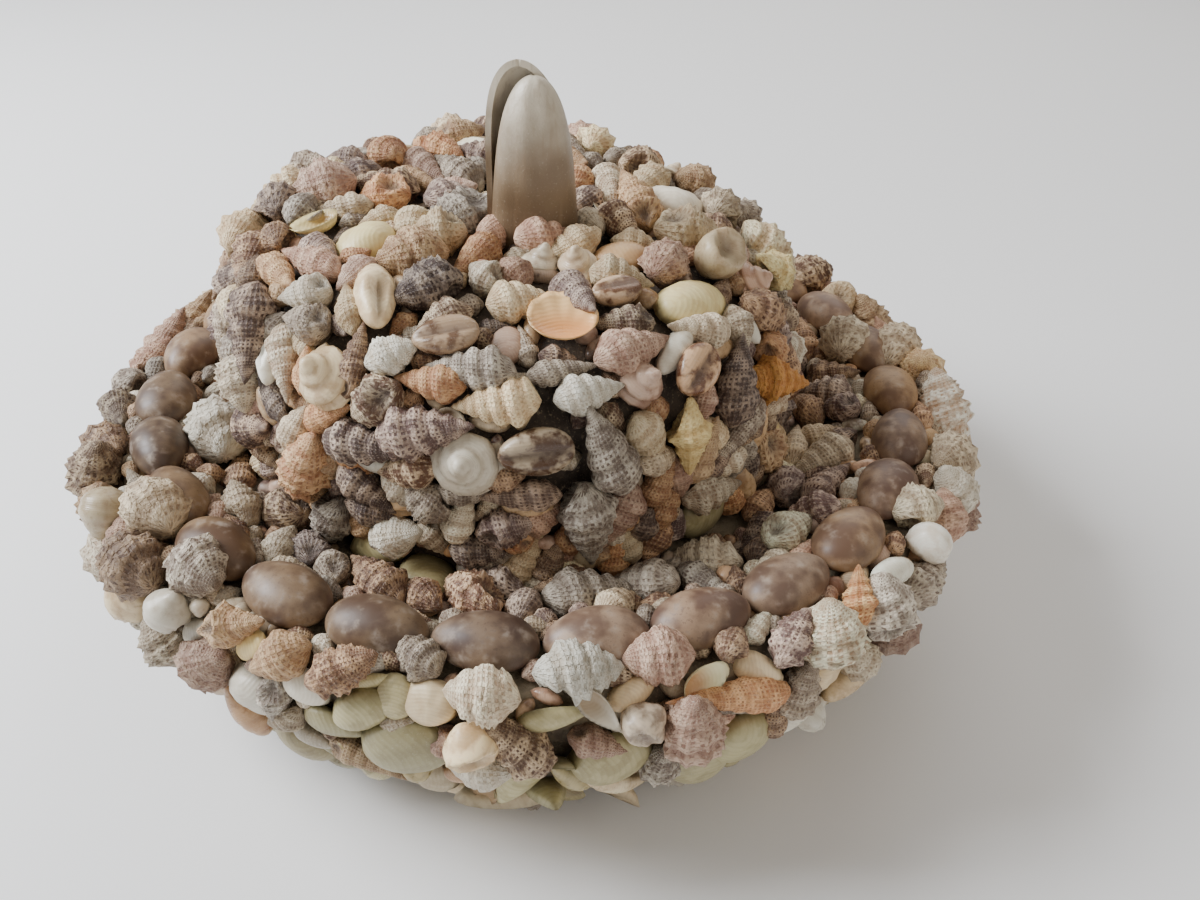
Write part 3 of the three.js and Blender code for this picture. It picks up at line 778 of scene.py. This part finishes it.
def press(kind, look, skin_name, run, angle, heading, size, roll=0.0, tilt=0.0, sink=0.0):
    """Sets one shell, keeps its place in mind, and makes its own mesh with its own colours."""
    global taken_centres, taken_radii
    skin = skins[skin_name]
    place, normal, along = skin.spot(run, angle)
    side = side_of(angle)
    centres, radii = shell_balls(kind, size, place, normal, along, side, heading)
    taken_centres = np.concatenate([taken_centres, centres])
    taken_radii = np.concatenate([taken_radii, radii])
    master, _, width = KINDS[kind]
    forward = Vector(along * math.cos(heading) + side * math.sin(heading))
    up = Vector(normal)
    across = up.cross(forward)
    stand = Matrix((forward, across, up)).transposed().to_4x4()
    axis_height = AXIS_SHARE * width if kind not in FLAT_KINDS else VALVE_PIVOT
    middle = Matrix.Translation((0, 0, axis_height * size))
    rolled = middle @ Matrix.Rotation(roll, 4, "X") @ middle.inverted()
    lift = 0.0
    if kind in FLAT_KINDS and abs(roll) > 2:
        lift = HOLLOW_UP_LIFT
    spread = [chance.uniform(0.90, 1.10) for _ in range(3)]
    place_matrix = (Matrix.Translation(Vector(place) + up * (lift - sink)) @ stand
                    @ middle @ Matrix.Rotation(tilt, 4, "Y") @ middle.inverted() @ rolled
                    @ Matrix.Diagonal((size * spread[0], size * spread[1], size * spread[2], 1)))
    copy = master.copy()
    copy.data = master.data.copy()
    copy.data.transform(place_matrix)
    bpy.context.scene.collection.objects.link(copy)
    light, shadow, contrast, worn = LOOKS[look]
    # Painted light and shade: shells on the bowl are painted lighter towards its right side and darker
    # towards its left, and darker still on the lower wall, which lies in shade.
    bright = chance.uniform(0.88, 1.16) * (1.0 if skin_name == "lid" else 1.02 + 0.12 * math.cos(angle))
    bright *= LOW_WALL_PAINTED_SHADE if skin_name == "wall" and run > LOW_WALL_RUN else 1.0
    warm = chance.uniform(-0.05, 0.05)
    for name, colour, extra in (("tint", light, worn), ("ground", shadow, contrast)):
        red, green, blue = paint(*[min(255, c * bright) for c in colour])
        values = [red * (1 + warm), green * 0.98, blue * (0.90 - warm), extra * chance.uniform(0.75, 1.2)]
        keep_colour(copy.data, name, values)
    owner = "lid" if skin_name == "lid" else "bowl"
    pressed[owner].append((kind, angle, float(place[2]), copy))


def press_seen(kind, look, px, py, length_px, screen_heading, roll=0.0, tilt=0.0, sink=0.0):
    """Presses in a shell that the picture shows at a pixel, so long, its apex pointing that way there.

    The heading is in degrees, 0 to the right of the picture and 90 up."""
    skin_name, run, angle = skin_seen(px, py)
    place, _, along = skins[skin_name].spot(run, angle, SEEN_LIFT)
    side = side_of(angle)
    best, best_off, best_scale = 0.0, 9.0, 1.0
    x0, y0, depth = seen_at(place[None])
    plain_scale = FRAME_WIDTH * LENS_MM / SENSOR_MM / float(depth[0])
    for step in range(72):
        heading = step * math.pi / 36
        way = along * math.cos(heading) + side * math.sin(heading)
        x1, y1, _ = seen_at((place + way * 0.01)[None])
        dx, dy = float(x1[0] - x0[0]), float(y0[0] - y1[0])
        off = abs((math.degrees(math.atan2(dy, dx)) - screen_heading + 180) % 360 - 180)
        if off < best_off:
            best, best_off, best_scale = heading, off, math.hypot(dx, dy) / 0.01
    length = KINDS[kind][1]
    wanted = length_px / max(best_scale, plain_scale * 0.75)
    size = min(max(wanted / length, 0.55), 1.7 if kind in FLAT_KINDS else 1.4)
    press(kind, look, skin_name, run, angle, best, size, roll, tilt, sink)


# Shells that stand out in the picture, on the lid: kind, look, pixel across and down, length in
# pixels, the way the apex points in degrees, and how the shell is rolled.
LID_SEEN = (
    ("oval_clam", "yellow", 315, 225, 58, 200, 3.14), ("cockle", "yellow", 367, 237, 54, 170, 0),
    ("cerith_stout", "white", 311, 295, 60, 190, 0.4), ("olive", "cream", 378, 300, 68, 95, 0.5),
    ("turban", "cream", 330, 370, 62, 90, 2.6), ("drupe_round", "white", 390, 358, 55, 20, 2.5),
    ("small_cowrie", "brown", 447, 340, 65, 10, 3.1), ("clam", "pink", 508, 342, 40, 80, 0),
    ("scallop", "peach", 563, 322, 50, 100, 3.14), ("small_cowrie", "brown", 615, 295, 52, 10, 3.1),
    ("oval_clam", "yellow", 693, 298, 70, 20, 0), ("cockle", "white", 672, 202, 54, 80, 0),
    ("oval_clam", "peach", 625, 252, 72, 175, 0), ("moon_snail", "cream", 712, 262, 42, 60, 0.3),
    ("drupe_long", "bone", 718, 213, 50, 30, 2.2), ("small_cowrie", "brown", 693, 372, 58, 60, 3.1),
    ("conch", "bright", 762, 378, 62, 350, 2.4, -0.7), ("conch", "yellow", 683, 432, 76, 270, 2.2),
    ("small_cowrie", "speckled", 535, 450, 80, 5, 3.1), ("turban", "white", 467, 462, 58, 100, 2.8),
    ("cerith_knobbed", "cream", 500, 403, 95, 185, 2.4), ("cerith_stout", "white", 587, 395, 76, 15, 2.0),
    ("cerith_slim", "grey", 560, 370, 72, 10, 2.2), ("cerith_stout", "orange", 433, 385, 72, 170, 1.9),
    ("turban", "pink", 645, 383, 42, 40, 2.0), ("cerith_stout", "grey", 608, 455, 90, 115, 2.4),
    ("cerith_knobbed", "grey", 588, 517, 86, 275, 2.0), ("cerith_slim", "dark", 525, 495, 85, 180, 2.6),
    ("drupe_long", "violet", 503, 525, 68, 10, 0.2), ("drupe_round", "grey", 432, 503, 58, 140, 2.0),
    ("cerith_knobbed", "violet", 420, 425, 95, 5, 2.2), ("cerith_knobbed", "dark", 365, 440, 85, 350, 2.2),
    ("cerith_stout", "dark", 365, 485, 70, 320, 2.1), ("drupe_long", "orange", 315, 465, 66, 80, 2.0),
    ("cerith_stout", "speckled", 295, 505, 84, 170, 2.2), ("whelk", "white", 395, 532, 60, 10, 0.8),
    ("cerith_stout", "dark", 478, 550, 70, 355, 2.3), ("cerith_stout", "brown", 548, 560, 56, 60, 2.2),
    ("cerith_slim", "dark", 270, 400, 58, 120, 2.2), ("auger", "grey", 735, 435, 108, 235, 2.2),
    ("tellin", "moss", 372, 545, 74, 200, 0.2), ("clam", "moss", 428, 572, 56, 100, 0.3),
    ("tellin", "white", 280, 470, 56, 250, 0.2),
    ("clam", "green", 705, 515, 58, 20, 0), ("cerith_stout", "orange", 660, 485, 60, 60, 2.2))
# The same on the bowl, along its rim and on its wall.
BOWL_SEEN = (
    ("drupe_long", "white", 215, 440, 84, 100, 2.4), ("drupe_round", "bone", 160, 520, 66, 120, 2.2),
    ("drupe_round", "grey", 200, 572, 62, 315, 2.2), ("moon_snail", "white", 173, 608, 38, 60, 2.4),
    ("conch", "tan", 235, 625, 76, 10, 0.1), ("drupe_long", "brown", 345, 665, 75, 20, 2.2),
    ("cerith_knobbed", "grey", 418, 660, 70, 140, 2.2), ("clam", "green", 393, 700, 50, 90, 0),
    ("cockle", "cream", 428, 712, 46, 90, 0), ("drupe_round", "pale", 488, 690, 80, 170, 2.4),
    ("drupe_long", "white", 575, 672, 92, 5, 2.4), ("drupe_round", "pink", 660, 665, 76, 185, 2.2),
    ("moon_snail", "grey", 640, 718, 50, 40, 0.3), ("tellin", "moss", 550, 722, 84, 10, 0.5),
    ("moon_snail", "cream", 470, 742, 46, 120, 0.2), ("whelk", "brown", 730, 650, 46, 60, 2.0),
    ("drupe_long", "violet", 790, 635, 70, 60, 2.2), ("conch", "orange", 855, 600, 72, 90, 2.4),
    ("auger", "orange", 735, 697, 118, 185, 2.2), ("olive", "white", 890, 570, 45, 20, 2.4),
    ("moon_snail", "white", 925, 545, 35, 60, 2.4), ("drupe_round", "bone", 920, 515, 55, 10, 2.2),
    ("drupe_long", "bone", 905, 345, 55, 60, 2.2), ("drupe_long", "speckled", 815, 258, 50, 20, 2.2),
    ("whelk", "cream", 850, 285, 50, 60, 0.3), ("drupe_round", "bone", 845, 350, 50, 60, 2.2),
    ("drupe_long", "tan", 102, 508, 52, 60, 2.2), ("clam", "moss", 608, 766, 105, 10, 0),
    ("clam", "green", 700, 764, 72, 60, 0), ("clam", "moss", 400, 752, 92, 0, 0),
    ("oval_clam", "orange", 462, 780, 56, 0, 0), ("clam", "moss", 742, 742, 76, 300, 0),
    ("tellin", "moss", 330, 732, 82, 340, 0), ("cockle", "white", 252, 696, 56, 300, 0),
    ("clam", "white", 300, 690, 60, 330, 0), ("oval_clam", "moss", 355, 715, 60, 20, 0))
SEEN_PROUD, STOOD_UP, STOOD_SINK = 0.0012, -1.3, 0.0030
for kind, look, px, py, length_px, screen_heading, roll, *tilt in LID_SEEN + BOWL_SEEN:
    stood = kind == "turban"
    press_seen(kind, look, px, py, length_px, screen_heading, roll, STOOD_UP if stood else sum(tilt),
               STOOD_SINK if stood else -SEEN_PROUD)

# The rest of the crust. Region by region the gaps are filled with shells of the sizes and colours
# seen there, big ones first, then smaller and smaller ones, until only dark crevices are left.
LID_CLEAR, FLOOR_CLEAR, FARTHEST = 0.1040, 0.0032, 0.1795
STATIONS, HEADINGS, NEAR_REACH, ROOM_ENOUGH, SMALLEST_GAP = 60, 12, 0.022, 0.004, 0.004
MOUTH_DOWN_SHARE, HOLLOW_DOWN_SHARE = 0.78, 0.72


def fill(skin_name, low, high, tries, choices, looks, overlap, tilts=0.2, raised=0.0):
    """Tries shells at random spots between two runs; choices are kind, least size, most size, share."""
    skin = skins[skin_name]
    shares = [choice[3] for choice in choices]
    stations = list(np.linspace(low, high, STATIONS))
    spread = list(np.interp(stations, skin.runs, skin.radii) + 0.004)
    for _ in range(tries):
        run = chance.choices(stations, spread)[0]
        angle = chance.uniform(-math.pi, math.pi)
        kind, least, most, _ = chance.choices(choices, shares)[0]
        size = chance.uniform(least, most)
        place, normal, along = skin.spot(run, angle)
        length = KINDS[kind][1] * size
        off = np.linalg.norm(taken_centres - place, axis=1)
        near = np.nonzero(off < length / 2 + NEAR_REACH)[0]
        if len(near) and (off[near] - taken_radii[near]).min() < SMALLEST_GAP - overlap:
            continue
        side = side_of(angle)
        start = chance.uniform(0, math.pi / 6)
        best, best_room = None, -overlap
        for step in range(HEADINGS):
            heading = start + step * math.pi / 6
            centres, radii = shell_balls(kind, size, place, normal, along, side, heading)
            room = room_for(centres, radii, near)
            if (centres[:, 2] - radii).min() < FLOOR_CLEAR:
                room = -1.0
            if (np.hypot(centres[:, 0], centres[:, 1]) + radii).max() > FARTHEST:
                room = -1.0
            if skin_name == "slope":
                to_lid = np.hypot(centres[:, 0] - LID_X, centres[:, 1]) - radii
                room = room if to_lid.min() > LID_CLEAR else -1.0
            if room > best_room:
                best, best_room = heading, room
                if room > ROOM_ENOUGH:
                    break
        if best is None:
            continue
        roll = chance.uniform(1.4, 4.6) if chance.random() < MOUTH_DOWN_SHARE else chance.uniform(-0.6, 0.6)
        stood = kind == "turban"
        tilt = chance.uniform(-tilts, tilts)
        if kind in FLAT_KINDS:
            roll = chance.uniform(-0.5, 0.5) + (0.0 if chance.random() < HOLLOW_DOWN_SHARE else math.pi)
            tilt = chance.uniform(-0.55, 0.15)
        if kind == "small_cowrie":
            roll = 0.0
        press(kind, chance.choice(looks[kind] if kind in looks else looks["other"]), skin_name, run, angle,
              best, size, roll, STOOD_UP if stood else tilt,
              STOOD_SINK if stood else chance.uniform(-0.0008, 0.0010) - raised)


LID_LOOKS = {"other": ("dark", "dark", "grey", "violet", "brown", "pale", "speckled", "cream", "orange",
                       "tan", "pink", "bone"),
             "moon_snail": ("pale", "grey", "cream", "tan"), "olive": ("cream", "white", "tan"),
             "turban": ("cream", "pale", "pink"), "small_cowrie": ("brown", "speckled", "tan"),
             "clam": ("cream", "pink", "white"), "oval_clam": ("cream", "tan", "white"),
             "cockle": ("cream", "yellow"), "conch": ("yellow", "orange", "tan")}
BOWL_LOOKS = {"other": ("grey", "bone", "pale", "brown", "pink", "tan", "pink", "speckled", "white"),
              "moon_snail": ("white", "grey", "cream", "pale"), "olive": ("cream", "white", "orange"),
              "turban": ("cream", "bone"), "small_cowrie": ("brown", "grey"),
              "auger": ("orange", "tan", "grey"), "clam": ("cream", "moss", "cream", "white"),
              "tellin": ("cream", "moss", "white", "tan"), "oval_clam": ("moss", "cream", "yellow", "white"),
              "cockle": ("cream", "white", "bone"), "conch": ("tan", "orange", "bone")}
LOW_LOOKS = {"other": ("brown", "grey", "green", "pink", "bone"),
             "clam": ("green", "cream", "white", "moss"), "tellin": ("moss", "cream", "white", "green"),
             "oval_clam": ("green", "cream", "moss", "tan"), "cockle": ("green", "cream"),
             "moon_snail": ("grey", "green"), "olive": ("cream", "green")}
# Looks for the slope under the lid: darker ones, as painted shade for the lid's shadow.
SLOPE_SHADE_LOOKS = {"other": ("dark", "violet", "grey", "brown", "bone")}

# What is tried in each belt: the kind, its least and most size, and its share of the tries.
CERITHS = (("cerith_slim", 0.9, 1.15, 3), ("cerith_stout", 0.9, 1.2, 5), ("cerith_knobbed", 0.9, 1.15, 4))
DRUPES = (("drupe_round", 0.85, 1.1, 2.5), ("drupe_long", 0.9, 1.15, 2.5))
RIM_DRUPES = (("drupe_round", 0.95, 1.3, 3), ("drupe_long", 1.0, 1.35, 3))
HALF_SHELLS = (("clam", 0.85, 1.35, 4), ("oval_clam", 0.9, 1.4, 3), ("tellin", 0.8, 1.3, 4),
               ("cockle", 0.7, 0.9, 1.5))
LITTLE = (("little_cerith", 0.75, 1.15, 5), ("little_whelk", 0.75, 1.15, 5), ("little_moon", 0.7, 1.1, 1),
          ("little_olive", 0.7, 1.1, 1.5), ("little_clam", 0.7, 1.1, 1))
LID_MAIN = CERITHS + DRUPES + (
    ("whelk", 0.9, 1.2, 1.5), ("small_cowrie", 0.85, 1.05, 0.4), ("turban", 0.8, 1.0, 0.6),
    ("clam", 0.6, 0.8, 0.3), ("cockle", 0.6, 0.8, 0.3), ("conch", 0.8, 0.95, 0.5),
    ("moon_snail", 0.9, 1.1, 0.4), ("olive", 0.9, 1.2, 0.5))
LID_GAPS = CERITHS + DRUPES + (("whelk", 0.8, 1.1, 5), ("olive", 0.7, 0.9, 0.7))
LID_FOOT_KINDS = (("whelk", 0.8, 1.0, 3), ("cerith_stout", 0.7, 0.9, 2))
RIM_EDGE = RIM_DRUPES + (("moon_snail", 0.9, 1.1, 0.5), ("cerith_knobbed", 0.9, 1.2, 1.5),
                         ("conch", 0.85, 1.0, 0.3), ("whelk", 1.0, 1.3, 1))
UPPER_WALL = RIM_DRUPES + (("conch", 0.85, 1.05, 0.4), ("moon_snail", 0.9, 1.1, 0.7),
                           ("cerith_knobbed", 0.9, 1.2, 1.5), ("auger", 0.7, 0.9, 0.3))
MIDDLE_WALL = HALF_SHELLS + (
    ("drupe_long", 0.8, 1.0, 0.7), ("moon_snail", 0.7, 1.0, 1.5), ("cerith_stout", 0.8, 1.1, 0.6),
    ("whelk", 0.9, 1.2, 0.7), ("auger", 0.7, 0.95, 0.7), ("olive", 0.8, 1.2, 1.5), ("conch", 0.7, 0.9, 0.3))
LOW_WALL = HALF_SHELLS + (("whelk", 0.7, 0.9, 0.5), ("olive", 0.8, 1.1, 1), ("moon_snail", 0.6, 0.8, 0.7))
UPPER_GAPS = (("whelk", 0.8, 1.1, 3), ("tellin", 0.5, 0.7, 3), ("oval_clam", 0.6, 0.8, 2),
              ("drupe_long", 0.7, 0.9, 1.5), ("cerith_stout", 0.7, 0.9, 2))
LOW_GAPS = (("oval_clam", 0.5, 0.8, 3), ("tellin", 0.5, 0.8, 4), ("clam", 0.45, 0.65, 3))
SLOPE_MAIN = CERITHS + (("drupe_long", 0.8, 1.0, 2), ("whelk", 0.9, 1.2, 2))

# The lid, from near the knob down to its foot.
FOOT_MARGIN = 0.003
lid_foot = skins["lid"].length - FOOT_MARGIN
fill("lid", 0.020, lid_foot, 2600, LID_MAIN, LID_LOOKS, overlap=0.0020)
fill("lid", 0.014, lid_foot, 3200, LID_GAPS, LID_LOOKS, overlap=0.0034, tilts=0.35, raised=0.0006)
fill("lid", lid_foot - 0.035, lid_foot, 1500, LID_FOOT_KINDS, LID_LOOKS, 0.0044, tilts=0.3, raised=0.0004)
fill("lid", lid_foot - 0.010, lid_foot + 0.003, 900, LITTLE, LID_LOOKS, 0.0040, tilts=0.3, raised=0.0010)
fill("lid", 0.005, lid_foot + 0.001, 3200, LITTLE, LID_LOOKS, overlap=0.0030, tilts=0.4, raised=-0.0012)

# The outside of the bowl, belts from the rim downwards: the row along the rim's edge, drupes under it,
# then more and more half shells, and at last the gaps.
RIM_BELT, UPPER_BELT, MIDDLE_TOP, LOW_TOP, MIDDLE_BELT = 0.006, 0.020, 0.021, 0.028, 0.034
WALL_LITTLE_END = 0.040
wall_foot = skins["wall"].length - FOOT_MARGIN
fill("wall", 0.001, RIM_BELT, 1500, RIM_EDGE, BOWL_LOOKS, overlap=0.0026)
fill("wall", RIM_BELT, UPPER_BELT, 1500, UPPER_WALL, BOWL_LOOKS, overlap=0.0022)
fill("wall", MIDDLE_TOP, MIDDLE_BELT, 1200, MIDDLE_WALL, BOWL_LOOKS, overlap=0.0030)
fill("wall", LOW_TOP, wall_foot - 0.001, 3000, LOW_WALL, LOW_LOOKS, 0.0036, tilts=0.12, raised=-0.0026)
fill("wall", 0.001, LOW_TOP, 1600, UPPER_GAPS, BOWL_LOOKS, overlap=0.0036, tilts=0.35, raised=0.0006)
fill("wall", LOW_TOP, wall_foot, 1900, LOW_GAPS, LOW_LOOKS, overlap=0.0046, raised=-0.0020)
fill("wall", 0.001, WALL_LITTLE_END, 1800, LITTLE, BOWL_LOOKS, overlap=0.0030, tilts=0.4, raised=-0.0014)

# The slope inside the ring of cowries, in the lid's shadow, whose shells take darker looks as painted shade,
# and the notches between the cowries' ends.
slope_top = skins["slope"].length
land_edge = skins["land"].length
fill("slope", 0.006, slope_top - 0.004, 1500, SLOPE_MAIN, SLOPE_SHADE_LOOKS, overlap=0.0026, tilts=0.25)
fill("slope", 0.0, slope_top - 0.001, 2400, LITTLE, SLOPE_SHADE_LOOKS, overlap=0.0030, tilts=0.4, raised=-0.0008)
fill("land", 0.001, land_edge - 0.001, 3000, LITTLE, BOWL_LOOKS, overlap=0.0036, tilts=0.3)

# The crust is joined into groups of like shells, so that each is one piece of its vessel.
MOST_IN_LID_GROUP, MOST_IN_BOWL_GROUP = 24, 130
for owner, most in (("lid", MOST_IN_LID_GROUP), ("bowl", MOST_IN_BOWL_GROUP)):
    for kind in KINDS:
        members = sorted((entry for entry in pressed[owner] if entry[0] == kind), key=lambda e: e[1])
        parts = max(1, math.ceil(len(members) / most))
        for part in range(parts):
            batch = members[len(members) * part // parts:len(members) * (part + 1) // parts]
            if not batch:
                continue
            bpy.ops.object.select_all(action="DESELECT")
            for entry in batch:
                entry[3].select_set(True)
            bpy.context.view_layer.objects.active = batch[0][3]
            if len(batch) > 1:
                bpy.ops.object.join()
            group = bpy.context.view_layer.objects.active
            group.name = group.data.name = f"{owner}_{kind}_{part + 1:02d}"
            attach(group, "root")
            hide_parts(owner)
for master, _, _ in KINDS.values():
    bpy.data.objects.remove(master)

# The knob: two halves of a razor-like shell stood upright on the lid, back to back and a little apart,
# so that a finger and thumb can lift the lid. Cream and worn, darker and browner towards the foot.
KNOB_SEAT, KNOB_HALF_WIDTH, KNOB_DEPTH, KNOB_WALL = 0.1590, 0.0150, 0.0098, 0.0022
KNOB_FRONT_HEIGHT, KNOB_BACK_HEIGHT, KNOB_ROUND = 0.0590, 0.0635, 5.0


def knob_material():
    """Pearly cream shell with faint upright streaks, brown towards its foot."""
    material, tree, skin = shader("knob_shell")
    cloud = grain(tree, 110.0, 3.0, 0.5)
    fine = grain(tree, 1300.0, 4.0, 0.6)
    place = add(tree, "TexCoord").outputs["Object"]
    axes = add(tree, "SeparateXYZ", {}, {"Vector": place})
    stretched = add(tree, "Mapping", {}, {"Vector": place, "Scale": (1.0, 1.0, 0.12)})
    streaks = add(tree, "TexNoise", {}, {"Vector": stretched.outputs[0], "Scale": 420.0, "Detail": 2.0})
    height = plus(tree, axes.outputs[2], times(tree, cloud, 0.02))
    foot_colour = (*paint(90, 68, 47), 1)
    shade = blend(tree, ramp(tree, height, KNOB_SEAT + 0.006, KNOB_SEAT + 0.038),
                  foot_colour, (*paint(130, 110, 86), 1))
    shade = blend(tree, ramp(tree, height, KNOB_SEAT + 0.036, KNOB_SEAT + 0.072), shade,
                  (*paint(214, 204, 184), 1))
    streak = streaks.outputs["Fac"]
    shade = over(tree, shade, ramp(tree, streak, 0.5, 0.7), 0.30, (*paint(150, 126, 98), 1))
    shade = over(tree, shade, ramp(tree, fine, 0.58, 0.75), 0.25, (*paint(222, 214, 196), 1))
    surface(tree, skin, shade, 0.36, plus(tree, fine, streak), 0.3, 0.0005)
    return material


knob_skin = knob_material()


def knob_half(name, node, centre_x, centre_y, facing, height, lean, narrowing):
    """Half a shell stood on end, its round side facing that way along y: a bent plate, closed above."""
    bpy.ops.object.select_all(action="DESELECT")
    bpy.ops.mesh.primitive_grid_add(x_subdivisions=28, y_subdivisions=48, size=2)
    half = bpy.context.object
    half.name = half.data.name = name
    for vertex in half.data.vertices:
        across, up = vertex.co.x, 1 - (0.5 - vertex.co.y / 2) ** 1.6
        closing = math.sqrt(max(1 - up ** KNOB_ROUND, 0.003))
        width = KNOB_HALF_WIDTH * closing * (1 - narrowing * up)
        ripple = 0.0004 * math.sin(up * 19) + 0.0003 * math.sin(across * 7 + up * 5)
        depth = (KNOB_DEPTH - KNOB_WALL / 2) * closing
        bulge = math.sqrt(max(1 - across ** 2, 0)) * depth + ripple * closing
        vertex.co = Vector((centre_x + across * width + lean * up * up, centre_y + facing * bulge,
                            KNOB_SEAT + up * height))
    wall = half.modifiers.new("wall", "SOLIDIFY")
    wall.thickness = KNOB_WALL
    wall.offset = 0.0
    bpy.ops.object.modifier_apply(modifier="wall")
    bpy.ops.object.mode_set(mode="EDIT")
    bpy.ops.mesh.select_all(action="SELECT")
    bpy.ops.mesh.normals_make_consistent(inside=False)
    bpy.ops.object.mode_set(mode="OBJECT")
    bpy.ops.object.shade_smooth_by_angle(angle=math.radians(50))
    half.data.materials.append(knob_skin)
    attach(half, "root")
    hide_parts(node)
    return half


knob_half("knob_half_front", "knob_shell_front", 0.0, -0.015, -1, KNOB_FRONT_HEIGHT, 0.0, 0.30)
knob_half("knob_half_back", "knob_shell_back", -0.0010, -0.0142, 1, KNOB_BACK_HEIGHT, -0.0042, 0.14)

# The plain pale floor and soft daylight that comes from the upper left, weaker from the right.
bpy.ops.mesh.primitive_plane_add(size=8, location=(0, 0, -0.0002))
floor = bpy.context.object
floor.name = "floor"
floor_material, _, floor_skin = shader("pale_floor")
floor_skin.inputs["Base Color"].default_value = (0.93, 0.93, 0.93, 1)
floor_skin.inputs["Roughness"].default_value = 0.9
floor.data.materials.append(floor_material)

LIGHTS = (("window", (-1.2, 0.12, 1.0), 0.8, 48.0, (0.955, 0.985, 1.03)),
          ("room", (0.9, -0.9, 0.9), 1.2, 4.6, (1.0, 0.90, 0.78)),
          ("back", (0.4, 1.2, 1.1), 1.2, 9.0, (1.0, 0.97, 0.93)))
for name, place, size, power, colour in LIGHTS:
    lamp = bpy.data.objects.new(name, bpy.data.lights.new(name, "AREA"))
    bpy.context.scene.collection.objects.link(lamp)
    lamp.location = place
    lamp.rotation_euler = (Vector((0, 0, 0.08)) - Vector(place)).to_track_quat("-Z", "Y").to_euler()
    lamp.data.size = size
    lamp.data.energy = power
    lamp.data.color = colour
world = bpy.data.worlds.new("studio")
bpy.context.scene.world = world
world.use_nodes = True
world.node_tree.nodes["Background"].inputs["Color"].default_value = (1.0, 0.975, 0.94, 1)
world.node_tree.nodes["Background"].inputs["Strength"].default_value = 0.33
